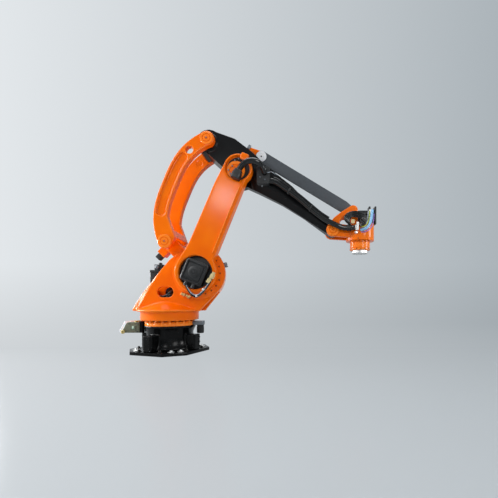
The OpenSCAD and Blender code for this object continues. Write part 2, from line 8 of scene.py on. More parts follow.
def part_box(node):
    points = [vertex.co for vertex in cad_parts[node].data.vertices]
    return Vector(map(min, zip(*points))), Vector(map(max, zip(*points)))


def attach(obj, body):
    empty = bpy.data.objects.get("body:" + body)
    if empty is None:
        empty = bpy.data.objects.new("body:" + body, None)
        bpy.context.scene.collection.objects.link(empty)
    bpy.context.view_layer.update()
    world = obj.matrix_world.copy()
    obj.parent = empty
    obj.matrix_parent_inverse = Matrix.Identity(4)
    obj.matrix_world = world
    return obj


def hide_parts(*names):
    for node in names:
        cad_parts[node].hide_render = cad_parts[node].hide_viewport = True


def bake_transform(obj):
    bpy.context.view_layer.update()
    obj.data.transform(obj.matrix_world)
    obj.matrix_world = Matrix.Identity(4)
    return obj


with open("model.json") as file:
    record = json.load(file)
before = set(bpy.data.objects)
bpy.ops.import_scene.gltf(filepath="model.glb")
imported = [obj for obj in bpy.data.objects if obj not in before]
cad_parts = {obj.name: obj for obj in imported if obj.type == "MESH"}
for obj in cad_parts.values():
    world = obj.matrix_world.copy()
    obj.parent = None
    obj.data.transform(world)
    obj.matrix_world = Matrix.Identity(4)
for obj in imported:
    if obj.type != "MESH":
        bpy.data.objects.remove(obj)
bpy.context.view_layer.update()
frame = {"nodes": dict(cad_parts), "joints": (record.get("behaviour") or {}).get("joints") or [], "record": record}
ops = bpy.ops
scene = bpy.context.scene
scene.view_settings.view_transform = "Standard"

# Pivots of the linkage, in metres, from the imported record
pivot = {j["name"]: Vector(j["pos_m"]) for j in frame["joints"]}
LINK, ELBOW, WRIST = pivot["link_lean"], pivot["arm_swing"], pivot["wrist_level"]
CRANK_PIN, ROD_REAR, FLANGE = pivot["fork_swing"], pivot["rod_pin_turn"], pivot["flange_turn"]
TIE_LOW = pivot["levelling_swing"]
FORK_TOP = ELBOW + CRANK_PIN - LINK
TIE_TOP = ELBOW + TIE_LOW - LINK


def along(start, end):
    """A frame at start: +X towards end, +Y across the machine, +Z to the left of the way."""
    way = end - start
    return Matrix.Translation(start) @ Matrix.Rotation(-atan2(way.z, way.x), 4, "Y")


link_frame = along(LINK, ELBOW)
arm_frame = along(ELBOW, WRIST)


def at(x, y, z, turn=(0, 0, 0)):
    """A place and a turn in millimetres and degrees, inside a frame."""
    spun = Matrix.Rotation(radians(turn[2]), 4, "Z") @ Matrix.Rotation(radians(turn[1]), 4, "Y") \
        @ Matrix.Rotation(radians(turn[0]), 4, "X")
    return Matrix.Translation((x / 1000, y / 1000, z / 1000)) @ spun


# A round piece stands along +Z when it is turned; these lay its axis across the machine
TO_NEAR = (90, 0, 0)
TO_FAR = (-90, 0, 0)


def on(pin, y, turn=TO_NEAR):
    """A place on a pin's axis, y mm across the machine."""
    return at(1000 * pin.x, y, 1000 * pin.z, turn)


def both_ends(pin, half):
    """The two ends of a pin, half its length to each side of the machine's middle."""
    return [on(pin, -half), on(pin, half, TO_FAR)]


def box_mm(node):
    """The low and the high corner of a CAD solid, in mm."""
    return [[1000 * c for c in corner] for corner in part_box(node)]


# Camera

camera = bpy.data.objects.new("camera", bpy.data.cameras.new("camera"))
scene.collection.objects.link(camera)
EYE = Vector((1.0716, -2.7014, 0.4272))
PHOTO_SIDE, SENSOR = 498, 36
FOCAL = 323.15
AXIS_PIXEL = (298.61, 299.68)
camera.location = EYE
camera.rotation_euler = (radians(90), 0, 0)
camera.data.sensor_width = SENSOR
camera.data.lens = FOCAL / PHOTO_SIDE * SENSOR
camera.data.shift_x = -0.0996
camera.data.shift_y = 0.1018
scene.camera = camera


def seen(pixel, y):
    """The place, in mm, that shows at a pixel of the photograph, at y across the machine."""
    reach = (y / 1000 - EYE.y) / FOCAL
    return Vector((1000 * (EYE.x + (pixel[0] - AXIS_PIXEL[0]) * reach), y,
                   1000 * (EYE.z - (pixel[1] - AXIS_PIXEL[1]) * reach)))


# Materials

def linear(code):
    """An sRGB hex colour as linear RGBA."""
    parts = [int(code[i:i + 2], 16) / 255 for i in (1, 3, 5)]
    return [c / 12.92 if c <= 0.04045 else ((c + 0.055) / 1.055) ** 2.4 for c in parts] + [1]


def put(tree, kind, inputs=None, **settings):
    """Adds a node, with its settings, and links or values for its inputs."""
    node = tree.nodes.new("ShaderNode" + kind)
    for key, value in settings.items():
        setattr(node, key, value)
    for key, value in (inputs or {}).items():
        if isinstance(value, bpy.types.NodeSocket):
            tree.links.new(value, node.inputs[key])
        else:
            node.inputs[key].default_value = value
    return node


def new_material(name):
    """An empty material with a Principled shader: its node tree and its shader."""
    made = bpy.data.materials.new(name)
    made.use_nodes = True
    tree = made.node_tree
    return made, tree, tree.nodes["Principled BSDF"]


# Two-pack enamel sprayed on castings: deep wet orange with a skin of fine orange peel,
# a little uneven in depth of colour, and paler over the sharp edges as a painted highlight
orange_enamel, tree, shader = new_material("orange_enamel")
place = put(tree, "TexCoord").outputs["Object"]
cloud = put(tree, "TexNoise", {"Vector": place, "Scale": 5, "Detail": 2})
tone = put(tree, "ValToRGB", {0: cloud.outputs[0]})
tone.color_ramp.elements[0].position, tone.color_ramp.elements[1].position = 0.35, 0.68
tone.color_ramp.elements[0].color, tone.color_ramp.elements[1].color = linear("#EB6400"), linear("#F17000")
# Pointiness lightens the sharp edges towards pale orange: a painted highlight where edges catch the light
edge = put(tree, "NewGeometry").outputs["Pointiness"]
thin = put(tree, "MapRange", {"Value": edge, "From Min": 0.51, "From Max": 0.58, "To Min": 0, "To Max": 0.55})
tone_with_edge_highlight = put(tree, "Mix", {"Factor": thin.outputs[0], 6: tone.outputs[0], 7: linear("#FF9A3C")}, data_type="RGBA")
tree.links.new(tone_with_edge_highlight.outputs[2], shader.inputs["Base Color"])
# orange peel is about 2 mm across; drawn at 7 mm so that it shows
peel = put(tree, "TexNoise", {"Vector": place, "Scale": 140, "Detail": 1})
skin = put(tree, "Bump", {"Height": peel.outputs[0], "Strength": 0.06, "Distance": 0.002})
tree.links.new(skin.outputs[0], shader.inputs["Normal"])
wipe = put(tree, "MapRange", {"Value": cloud.outputs[0], "To Min": 0.16, "To Max": 0.22})
tree.links.new(wipe.outputs[0], shader.inputs["Roughness"])
shader.inputs["Coat Weight"].default_value = 0.03
shader.inputs["Specular IOR Level"].default_value = 0.19
shader.inputs["Coat Roughness"].default_value = 0.1
shader.inputs["IOR"].default_value = 1.5

# Black enamel on the base: almost mirror dark, with dust that dulls it in patches
black_enamel, tree, shader = new_material("black_enamel")
place = put(tree, "TexCoord").outputs["Object"]
cloud = put(tree, "TexNoise", {"Vector": place, "Scale": 9, "Detail": 4})
tone = put(tree, "Mix", {"Factor": cloud.outputs[0], 6: linear("#040404"), 7: linear("#080809")},
           data_type="RGBA")
tree.links.new(tone.outputs[2], shader.inputs["Base Color"])
peel = put(tree, "TexNoise", {"Vector": place, "Scale": 150, "Detail": 1})
skin = put(tree, "Bump", {"Height": peel.outputs[0], "Strength": 0.08, "Distance": 0.002})
tree.links.new(skin.outputs[0], shader.inputs["Normal"])
dull = put(tree, "MapRange", {"Value": cloud.outputs[0], "To Min": 0.14, "To Max": 0.3})
tree.links.new(dull.outputs[0], shader.inputs["Roughness"])
shader.inputs["Coat Weight"].default_value = 0.03
shader.inputs["Specular IOR Level"].default_value = 0.13
shader.inputs["IOR"].default_value = 1.5

# Satin black paint on die-cast motor housings: the cast grain shows through as fine pebbles
motor_paint, tree, shader = new_material("satin_motor_paint")
place = put(tree, "TexCoord").outputs["Object"]
# die-cast grain is under 1 mm; drawn at 5 mm
grain = put(tree, "TexVoronoi", {"Vector": place, "Scale": 200})
skin = put(tree, "Bump", {"Height": grain.outputs["Distance"], "Strength": 0.12, "Distance": 0.001})
tree.links.new(skin.outputs[0], shader.inputs["Normal"])
cloud = put(tree, "TexNoise", {"Vector": place, "Scale": 14, "Detail": 3})
tone = put(tree, "Mix", {"Factor": cloud.outputs[0], 6: linear("#111213"), 7: linear("#1D1E20")},
           data_type="RGBA")
tree.links.new(tone.outputs[2], shader.inputs["Base Color"])
dull = put(tree, "MapRange", {"Value": cloud.outputs[0], "To Min": 0.36, "To Max": 0.52})
tree.links.new(dull.outputs[0], shader.inputs["Roughness"])
shader.inputs["IOR"].default_value = 1.45

# Carbon-fibre laminate under satin lacquer: black twill whose tows catch the light in turn
carbon_twill, tree, shader = new_material("carbon_twill")
place = put(tree, "TexCoord").outputs["Object"]
# a tow is 2 mm wide; drawn at 6 mm so that the twill shows. The weave lies along the forearm.
lay = put(tree, "Mapping", {"Vector": place, "Rotation": (0, radians(-31.2), 0), "Scale": (1 / 0.006,) * 3})
split = put(tree, "SeparateXYZ", {0: lay.outputs[0]})
across = put(tree, "Math", {0: split.outputs["X"]}, operation="FLOOR")
upward = put(tree, "Math", {0: split.outputs["Z"]}, operation="FLOOR")
step = put(tree, "Math", {0: across.outputs[0], 1: upward.outputs[0]}, operation="ADD")
four = put(tree, "Math", {0: step.outputs[0], 1: 4.0}, operation="FLOORED_MODULO")
warp = put(tree, "Math", {0: four.outputs[0], 1: 1.5}, operation="LESS_THAN")
tone = put(tree, "Mix", {"Factor": warp.outputs[0], 6: linear("#020203"), 7: linear("#060607")},
           data_type="RGBA")
tree.links.new(tone.outputs[2], shader.inputs["Base Color"])
gloss = put(tree, "MapRange", {"Value": warp.outputs[0], "To Min": 0.3, "To Max": 0.36})
tree.links.new(gloss.outputs[0], shader.inputs["Roughness"])
skin = put(tree, "Bump", {"Height": warp.outputs[0], "Strength": 0.02, "Distance": 0.001})
tree.links.new(skin.outputs[0], shader.inputs["Normal"])
shader.inputs["Coat Weight"].default_value = 0.08
shader.inputs["Coat Roughness"].default_value = 0.15
shader.inputs["Specular IOR Level"].default_value = 0.18
shader.inputs["IOR"].default_value = 1.5

# Sawn carbon plate, unlacquered: a dull mottled grey with the marks of the press cloth
carbon_plate, tree, shader = new_material("bare_carbon_plate")
place = put(tree, "TexCoord").outputs["Object"]
cloud = put(tree, "TexNoise", {"Vector": place, "Scale": 60, "Detail": 5, "Roughness": 0.7})
tone = put(tree, "Mix", {"Factor": cloud.outputs[0], 6: linear("#2F3338"), 7: linear("#464B51")},
           data_type="RGBA")
tree.links.new(tone.outputs[2], shader.inputs["Base Color"])
skin = put(tree, "Bump", {"Height": cloud.outputs[0], "Strength": 0.12, "Distance": 0.001})
tree.links.new(skin.outputs[0], shader.inputs["Normal"])
shader.inputs["Roughness"].default_value = 0.55
shader.inputs["IOR"].default_value = 1.5

# Extruded rubber sheath of the hoses: smooth black with fine die lines and a soft shine
hose_sheath, tree, shader = new_material("hose_sheath")
place = put(tree, "TexCoord").outputs["Object"]
cloud = put(tree, "TexNoise", {"Vector": place, "Scale": 40, "Detail": 3})
tone = put(tree, "Mix", {"Factor": cloud.outputs[0], 6: linear("#040404"), 7: linear("#090A0A")},
           data_type="RGBA")
tree.links.new(tone.outputs[2], shader.inputs["Base Color"])
gloss = put(tree, "MapRange", {"Value": cloud.outputs[0], "To Min": 0.09, "To Max": 0.18})
tree.links.new(gloss.outputs[0], shader.inputs["Roughness"])
skin = put(tree, "Bump", {"Height": cloud.outputs[0], "Strength": 0.05, "Distance": 0.001})
tree.links.new(skin.outputs[0], shader.inputs["Normal"])
shader.inputs["IOR"].default_value = 1.52

# Glass-filled nylon of clamps and holders: moulded, matt, with a spark-eroded grain
black_nylon, tree, shader = new_material("black_nylon")
place = put(tree, "TexCoord").outputs["Object"]
# the grain is about 0.5 mm; drawn at 3 mm
grain = put(tree, "TexNoise", {"Vector": place, "Scale": 330, "Detail": 1})
skin = put(tree, "Bump", {"Height": grain.outputs[0], "Strength": 0.15, "Distance": 0.001})
tree.links.new(skin.outputs[0], shader.inputs["Normal"])
cloud = put(tree, "TexNoise", {"Vector": place, "Scale": 25, "Detail": 2})
tone = put(tree, "Mix", {"Factor": cloud.outputs[0], 6: linear("#0C0C0D"), 7: linear("#191A1B")},
           data_type="RGBA")
tree.links.new(tone.outputs[2], shader.inputs["Base Color"])
shader.inputs["Roughness"].default_value = 0.5
shader.inputs["IOR"].default_value = 1.53

# Moulded rubber of the stops: dead matt, greying where it is handled
stop_rubber, tree, shader = new_material("stop_rubber")
place = put(tree, "TexCoord").outputs["Object"]
cloud = put(tree, "TexNoise", {"Vector": place, "Scale": 45, "Detail": 4})
tone = put(tree, "Mix", {"Factor": cloud.outputs[0], 6: linear("#0B0B0B"), 7: linear("#1C1C1C")},
           data_type="RGBA")
tree.links.new(tone.outputs[2], shader.inputs["Base Color"])
skin = put(tree, "Bump", {"Height": cloud.outputs[0], "Strength": 0.1, "Distance": 0.001})
tree.links.new(skin.outputs[0], shader.inputs["Normal"])
shader.inputs["Roughness"].default_value = 0.75
shader.inputs["IOR"].default_value = 1.52

# Yellow-passivated zinc on the plugs: a straw-coloured metal with cloudy iridescence
yellow_zinc, tree, shader = new_material("yellow_zinc")
place = put(tree, "TexCoord").outputs["Object"]
cloud = put(tree, "TexNoise", {"Vector": place, "Scale": 55, "Detail": 3})
tone = put(tree, "Mix", {"Factor": cloud.outputs[0], 6: linear("#A8904A"), 7: linear("#E2D3A0")},
           data_type="RGBA")
tree.links.new(tone.outputs[2], shader.inputs["Base Color"])
gloss = put(tree, "MapRange", {"Value": cloud.outputs[0], "To Min": 0.3, "To Max": 0.5})
tree.links.new(gloss.outputs[0], shader.inputs["Roughness"])
shader.inputs["Metallic"].default_value = 0.85

# Turned steel: bright, with lathe rings that smear the highlights
turned_steel, tree, shader = new_material("turned_steel")
place = put(tree, "TexCoord").outputs["Object"]
# the feed marks are 0.2 mm apart; drawn at 2 mm
rings = put(tree, "TexWave", {"Vector": place, "Scale": 160, "Distortion": 2.0}, wave_type="RINGS")
skin = put(tree, "Bump", {"Height": rings.outputs[0], "Strength": 0.06, "Distance": 0.001})
tree.links.new(skin.outputs[0], shader.inputs["Normal"])
cloud = put(tree, "TexNoise", {"Vector": place, "Scale": 30, "Detail": 3})
gloss = put(tree, "MapRange", {"Value": cloud.outputs[0], "To Min": 0.3, "To Max": 0.44})
tree.links.new(gloss.outputs[0], shader.inputs["Roughness"])
shader.inputs["Base Color"].default_value = linear("#EDEDEB")
shader.inputs["Metallic"].default_value = 1

# Zinc-plated and blackened steel of bolts, stops and brackets: blue-grey, a little patchy
plated_steel, tree, shader = new_material("plated_steel")
place = put(tree, "TexCoord").outputs["Object"]
cloud = put(tree, "TexNoise", {"Vector": place, "Scale": 70, "Detail": 3})
tone = put(tree, "Mix", {"Factor": cloud.outputs[0], 6: linear("#5D6166"), 7: linear("#8E9297")},
           data_type="RGBA")
tree.links.new(tone.outputs[2], shader.inputs["Base Color"])
gloss = put(tree, "MapRange", {"Value": cloud.outputs[0], "To Min": 0.3, "To Max": 0.5})
tree.links.new(gloss.outputs[0], shader.inputs["Roughness"])
shader.inputs["Metallic"].default_value = 0.9

# Black-oxide screws: dark, faintly brown, with an oily sheen
black_oxide, tree, shader = new_material("black_oxide_steel")
place = put(tree, "TexCoord").outputs["Object"]
cloud = put(tree, "TexNoise", {"Vector": place, "Scale": 90, "Detail": 2})
tone = put(tree, "Mix", {"Factor": cloud.outputs[0], 6: linear("#141312"), 7: linear("#2A2826")},
           data_type="RGBA")
tree.links.new(tone.outputs[2], shader.inputs["Base Color"])
gloss = put(tree, "MapRange", {"Value": cloud.outputs[0], "To Min": 0.28, "To Max": 0.45})
tree.links.new(gloss.outputs[0], shader.inputs["Roughness"])
shader.inputs["Metallic"].default_value = 0.7

# Olive hammer paint on the connection box: a dimpled sheet-metal finish
olive_paint, tree, shader = new_material("olive_hammer_paint")
place = put(tree, "TexCoord").outputs["Object"]
# dimples of hammer paint are 3 mm across; drawn at 8 mm
dimple = put(tree, "TexVoronoi", {"Vector": place, "Scale": 125}, feature="SMOOTH_F1")
skin = put(tree, "Bump", {"Height": dimple.outputs["Distance"], "Strength": 0.15, "Distance": 0.001})
tree.links.new(skin.outputs[0], shader.inputs["Normal"])
tone = put(tree, "Mix", {"Factor": dimple.outputs["Distance"], 6: linear("#4E4F3E"), 7: linear("#6D6E58")},
           data_type="RGBA")
tree.links.new(tone.outputs[2], shader.inputs["Base Color"])
shader.inputs["Roughness"].default_value = 0.42
shader.inputs["IOR"].default_value = 1.5

# Turned white acetal of the pin cap: dense, waxy, with faint rings
white_acetal, tree, shader = new_material("white_acetal")
place = put(tree, "TexCoord").outputs["Object"]
cloud = put(tree, "TexNoise", {"Vector": place, "Scale": 50, "Detail": 2})
tone = put(tree, "Mix", {"Factor": cloud.outputs[0], 6: linear("#D9DADC"), 7: linear("#F1F1F2")},
           data_type="RGBA")
tree.links.new(tone.outputs[2], shader.inputs["Base Color"])
skin = put(tree, "Bump", {"Height": cloud.outputs[0], "Strength": 0.04, "Distance": 0.001})
tree.links.new(skin.outputs[0], shader.inputs["Normal"])
shader.inputs["Roughness"].default_value = 0.3
shader.inputs["Subsurface Weight"].default_value = 0.05
shader.inputs["IOR"].default_value = 1.48

# White nylon of tags, ties and strips: moulded, with a faint grain
white_nylon, tree, shader = new_material("white_nylon")
place = put(tree, "TexCoord").outputs["Object"]
cloud = put(tree, "TexNoise", {"Vector": place, "Scale": 90, "Detail": 2})
tone = put(tree, "Mix", {"Factor": cloud.outputs[0], 6: linear("#D6D6D2"), 7: linear("#EFEFEC")},
           data_type="RGBA")
tree.links.new(tone.outputs[2], shader.inputs["Base Color"])
shader.inputs["Roughness"].default_value = 0.4
shader.inputs["IOR"].default_value = 1.53


def wire_material(name, dark, pale):
    """Soft insulation of a wire or an air line, a little uneven along its length."""
    made, tree, shader = new_material(name)
    place = put(tree, "TexCoord").outputs["Object"]
    cloud = put(tree, "TexNoise", {"Vector": place, "Scale": 60, "Detail": 2})
    tone = put(tree, "Mix", {"Factor": cloud.outputs[0], 6: linear(dark), 7: linear(pale)}, data_type="RGBA")
    tree.links.new(tone.outputs[2], shader.inputs["Base Color"])
    gloss = put(tree, "MapRange", {"Value": cloud.outputs[0], "To Min": 0.28, "To Max": 0.42})
    tree.links.new(gloss.outputs[0], shader.inputs["Roughness"])
    shader.inputs["IOR"].default_value = 1.5
    return made


blue_line = wire_material("blue_air_line", "#6FA8D6", "#9CCBEE")
violet_wire = wire_material("violet_wire", "#8A62B0", "#B58FD2")
earth_wire = wire_material("green_yellow_wire", "#8DA63A", "#D2D64C")
grey_wire = wire_material("grey_wire", "#7C858E", "#B4BCC4")
beige_plug = wire_material("beige_plug_moulding", "#B79F6A", "#DCCB9A")
mint_plug = wire_material("pale_green_plug_moulding", "#86A08C", "#B4C9B6")

# A slot of the record with the finish that shows on it, for those that come often
IRON = "orange_casting", orange_enamel
ALLOY = "orange_light_casting", orange_enamel
MOTOR = "black_motor", motor_paint
SCREW = "dark_steel", black_oxide
PLATED = "dark_steel", plated_steel
RUBBER = "rubber", stop_rubber
NYLON = "black_plastic", black_nylon
WHITE_NYLON = "black_plastic", white_nylon
HOSE = "hose", hose_sheath
ZINC_PLUG = "connector_metal", yellow_zinc

# Floor and backdrop: pale studio paper with painted light: it glows, paler to the left and a little dimmer low
# down. What the camera and mirrors see is mostly this painted glow, and fully so at the back; the floor keeps the
# shadow and a faint reflection.
paper, tree, shader = new_material("studio_paper")
place = put(tree, "TexCoord").outputs["Object"]
split = put(tree, "SeparateXYZ", {0: place})
aside = put(tree, "Math", {0: split.outputs["X"], 1: EYE.x}, operation="SUBTRACT")
depth = put(tree, "Math", {0: split.outputs["Y"], 1: -EYE.y}, operation="ADD")
bearing = put(tree, "Math", {0: aside.outputs[0], 1: depth.outputs[0]}, operation="DIVIDE")
# Painted light: the paper's tone grows paler to the left, as the studio's light falls on it
painted_light_across = put(tree, "MapRange", {"Value": bearing.outputs[0], "From Min": -0.92, "From Max": 0.6})
tone = put(tree, "Mix", {"Factor": painted_light_across.outputs[0], 6: linear("#EAEEF1"), 7: linear("#A1AAB0")},
           data_type="RGBA")
tree.links.new(tone.outputs[2], shader.inputs["Base Color"])
shader.inputs["Roughness"].default_value = 0.2
shader.inputs["IOR"].default_value = 1.3
# Painted light: the paper glows for the camera and mirrors, a little dimmer low down
painted_glow_by_height = put(tree, "MapRange", {"Value": split.outputs["Z"], "From Max": 1.2, "To Min": 0.88, "To Max": 1})
painted_paper_glow = put(tree, "Emission", {"Color": tone.outputs[2], "Strength": painted_glow_by_height.outputs[0]})
ray = put(tree, "LightPath")
mirror = put(tree, "Math", {0: ray.outputs["Is Glossy Ray"], 1: ray.outputs["Is Transmission Ray"]},
             operation="ADD")
looked_at = put(tree, "Math", {0: ray.outputs["Is Camera Ray"], 1: mirror.outputs[0]}, operation="ADD",
                use_clamp=True)
back = put(tree, "MapRange", {"Value": split.outputs["Y"], "From Min": 0.6, "From Max": 2.6, "To Min": 0.72,
                              "To Max": 1})
share = put(tree, "Math", {0: looked_at.outputs[0], 1: back.outputs[0]}, operation="MULTIPLY")
seen_paper = put(tree, "MixShader", {0: share.outputs[0], 1: shader.outputs[0], 2: painted_paper_glow.outputs[0]})
tree.links.new(seen_paper.outputs[0], tree.nodes["Material Output"].inputs["Surface"])


# Studio

def new_lamp(name, energy, size, place, look):
    """A square soft box that looks at a point; the camera doesn't see it."""
    lamp = bpy.data.objects.new(name, bpy.data.lights.new(name, "AREA"))
    scene.collection.objects.link(lamp)
    lamp.data.energy, lamp.data.size = energy, size
    lamp.location, lamp.visible_camera = place, False
    lamp.rotation_euler = (Vector(look) - Vector(place)).to_track_quat("-Z", "Y").to_euler()


new_lamp("key_left", 110, 2.0, (-2.6, -2.0, 3.2), (0.3, 0, 1.0))
new_lamp("side_left", 84, 1.0, (-3.2, -0.35, 1.0), (-0.1, 0, 0.7))
new_lamp("front_box", 10, 0.36, (-0.2, -3.2, 2.17), (0.5, -0.2, 1.2))
new_lamp("rim_right", 36, 0.9, (4.3, -0.7, 1.5), (1.5, 0, 0.95))
new_lamp("strip_left", 84, 1.1, (-3.4, 1.3, 1.4), (1.4, 0, 0.95))
new_lamp("fill_right", 34, 1.2, (3.0, -2.9, 1.9), (1.3, 0, 1.0))
new_lamp("top_box", 48, 2.4, (0.6, 0.3, 4.0), (0.6, 0, 0.8))

world = scene.world or bpy.data.worlds.new("studio")
scene.world = world
world.use_nodes = True
sky = world.node_tree
sky.nodes["Background"].inputs["Color"].default_value = linear("#D5DADE")
sky.nodes["Background"].inputs["Strength"].default_value = 0.27

FLOOR_SIDE, BACKDROP_HEIGHT, SWEEP_RADIUS = 14, 7, 1.6
ops.object.select_all(action="DESELECT")
ops.mesh.primitive_plane_add(size=FLOOR_SIDE, location=(0.4, -2.5, 0))
floor = bpy.context.object
floor.name = "studio_floor"
ops.object.mode_set(mode="EDIT")
for side in bmesh.from_edit_mesh(floor.data).edges:
    side.select = all(v.co.y > 0 for v in side.verts)
bmesh.update_edit_mesh(floor.data)
ops.mesh.extrude_region_move(TRANSFORM_OT_translate={"value": (0, 0, BACKDROP_HEIGHT)})
ops.object.mode_set(mode="OBJECT")
sweep = floor.modifiers.new("sweep", "BEVEL")
sweep.width, sweep.segments, sweep.limit_method = SWEEP_RADIUS, 12, "ANGLE"
ops.object.modifier_apply(modifier="sweep")
ops.object.shade_smooth()
floor.data.materials.append(paper)


# Modelling

SHARP = radians(38)


def clear():
    """Deselects everything."""
    ops.object.select_all(action="DESELECT")


def take(piece):
    """Selects one piece alone and makes it active."""
    clear()
    piece.select_set(True)
    bpy.context.view_layer.objects.active = piece


def apply(piece, kind, **settings):
    """Adds a modifier with its settings, and applies it."""
    bpy.context.view_layer.objects.active = piece
    modifier = piece.modifiers.new("work", kind)
    for key, value in settings.items():
        setattr(modifier, key, value)
    ops.object.modifier_apply(modifier=modifier.name)


def dress(piece, name, slot, material, *stands_for):
    """Names and paints a finished piece."""
    piece.name = piece.data.name = name
    piece.data.materials.clear()
    piece.data.materials.append(material)
    if stands_for:
        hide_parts(*stands_for)
    return piece


def ride(piece, name, body, *finish):
    """Names and paints a finished piece, and hands it to its body."""
    dress(piece, name, *finish)
    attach(piece, body)
    return piece


def copy_of(node):
    """A copy of a CAD solid with its triangles merged, free of its body."""
    piece = frame["nodes"][node].copy()
    piece.data = piece.data.copy()
    for key in list(piece.keys()):
        del piece[key]
    piece.parent = None
    piece.matrix_world = Matrix.Identity(4)
    scene.collection.objects.link(piece)
    take(piece)
    ops.object.mode_set(mode="EDIT")
    ops.mesh.select_all(action="SELECT")
    ops.mesh.remove_doubles(threshold=0.00002)
    ops.object.mode_set(mode="OBJECT")
    return piece


def join(pieces):
    """Makes several pieces one mesh."""
    clear()
    for piece in pieces:
        piece.select_set(True)
    bpy.context.view_layer.objects.active = pieces[0]
    if len(pieces) > 1:
        ops.object.join()
    return pieces[0]


def cast(pieces, grain, passes):
    """Melts pieces into one casting, softens its edges as a mould leaves them, and thins the flats."""
    piece = join(pieces)
    apply(piece, "REMESH", mode="VOXEL", voxel_size=grain / 1000)
    apply(piece, "SMOOTH", factor=0.5, iterations=passes)
    apply(piece, "DECIMATE", ratio=0.5)
    take(piece)
    ops.object.shade_smooth()
    return piece


def draw_out(size, steps):
    """Draws the flat piece just added out along +Z, by steps: how far in its edge is, and a height."""
    ops.object.transform_apply(location=True, rotation=True, scale=True)
    piece = bpy.context.object
    ops.object.mode_set(mode="EDIT")
    ops.mesh.select_all(action="SELECT")
    inset, level = steps[0]
    for next_inset, next_level in steps[1:]:
        ops.mesh.extrude_region_move(TRANSFORM_OT_translate={"value": (0, 0, (next_level - level) / 1000)})
        grow = [(side - 2 * next_inset) / (side - 2 * inset) for side in size]
        ops.transform.resize(value=(*grow, 1), center_override=(0, 0, 0))
        inset, level = next_inset, next_level
    ops.mesh.select_all(action="SELECT")
    ops.mesh.normals_make_consistent(inside=False)
    ops.object.mode_set(mode="OBJECT")
    ops.object.shade_smooth_by_angle(angle=SHARP)
    return piece


def turned(profile, sides=40):
    """A piece turned about +Z, from a disc drawn out to each radius and height of its profile, in mm."""
    radius, level = profile[0]
    clear()
    ops.mesh.primitive_circle_add(vertices=sides, radius=radius / 1000, fill_type="NGON",
                                  location=(0, 0, level / 1000))
    return draw_out((2 * radius, 2 * radius), [(radius - r, z) for r, z in profile])


def squared(w, h, corner, steps):
    """A piece of rounded square section along +Z, drawn out step by step, in mm."""
    clear()
    ops.mesh.primitive_plane_add(size=1, location=(0, 0, steps[0][1] / 1000))
    ops.transform.resize(value=(w / 1000, h / 1000, 1))
    ops.object.transform_apply(scale=True)
    ops.object.mode_set(mode="EDIT")
    ops.mesh.select_all(action="SELECT")
    ops.mesh.bevel(offset=corner / 1000, segments=5, affect="VERTICES")
    ops.object.mode_set(mode="OBJECT")
    return draw_out((w, h), steps)


def block(x, y, z, ease=3):
    """A block about the origin with its edges eased, in mm."""
    return squared(x, y, ease, [(ease, -z / 2), (0, ease - z / 2), (0, z / 2 - ease), (ease, z / 2)])


def placed(piece, place):
    """Moves a piece's mesh to its place."""
    piece.data.transform(place)
    return piece


def copies(piece, places):
    """A mesh of its own at each place, joined to one piece; the pattern goes."""
    made = []
    for place in places:
        twin = piece.copy()
        twin.data = piece.data.copy()
        scene.collection.objects.link(twin)
        made.append(placed(twin, place))
    bpy.data.objects.remove(piece)
    return join(made)


def eased(node, width):
    """A copy of a CAD solid with its sharp edges eased, in mm."""
    piece = copy_of(node)
    apply(piece, "BEVEL", width=width / 1000, segments=3, limit_method="ANGLE", angle_limit=radians(40))
    take(piece)
    ops.object.shade_smooth_by_angle(angle=SHARP)
    return piece


def cap_screw(size, washer=0):
    """A socket-head screw that stands on z = 0, with its socket sunk, on a washer if one is given."""
    r, base = 0.75 * size, 0.18 * size if washer else 0
    foot = [(washer, 0), (washer, base)] if washer else []
    return turned(foot + [(r, base), (r, base + 0.85 * size), (0.88 * r, base + size), (0.56 * r, base + size),
                          (0.5 * r, base + 0.45 * size), (0.05 * r, base + 0.42 * size)], 12)


def around(centre, radius, count, turn, first=0.0):
    """Places on a circle about the centre's own +Z."""
    return [centre @ Matrix.Rotation(radians(first) + 2 * pi * k / count, 4, "Z") @ at(radius, 0, 0, turn)
            for k in range(count)]


def reshape(piece, chosen, scale=None, centre=None, cut=None, move=None):
    """Scales or moves the corners of a piece that are chosen by place, after a cut if one is given."""
    take(piece)
    ops.object.mode_set(mode="EDIT")
    if cut:
        ops.mesh.select_all(action="SELECT")
        ops.mesh.bisect(plane_co=cut[0], plane_no=cut[1])
    mesh = bmesh.from_edit_mesh(piece.data)
    for corner in mesh.verts:
        corner.select = chosen(corner.co)
    mesh.select_flush(False)
    bmesh.update_edit_mesh(piece.data)
    if scale:
        ops.transform.resize(value=scale, center_override=centre)
    if move:
        ops.transform.translate(value=move)
    ops.object.mode_set(mode="OBJECT")


def way(points, count=24):
    """Points of one smooth curve through the given ones."""
    points = [Vector(p) for p in points]
    points = [2 * points[0] - points[1]] + points + [2 * points[-1] - points[-2]]
    spans = len(points) - 3
    found = []
    for k in range(count):
        i = min(int(k * spans / (count - 1)), spans - 1)
        t = k * spans / (count - 1) - i
        a, b, c, d = points[i:i + 4]
        found.append(0.5 * (2 * b + (c - a) * t + (2 * a - 5 * b + 4 * c - d) * t ** 2
                            + (3 * b - a - 3 * c + d) * t ** 3))
    return found


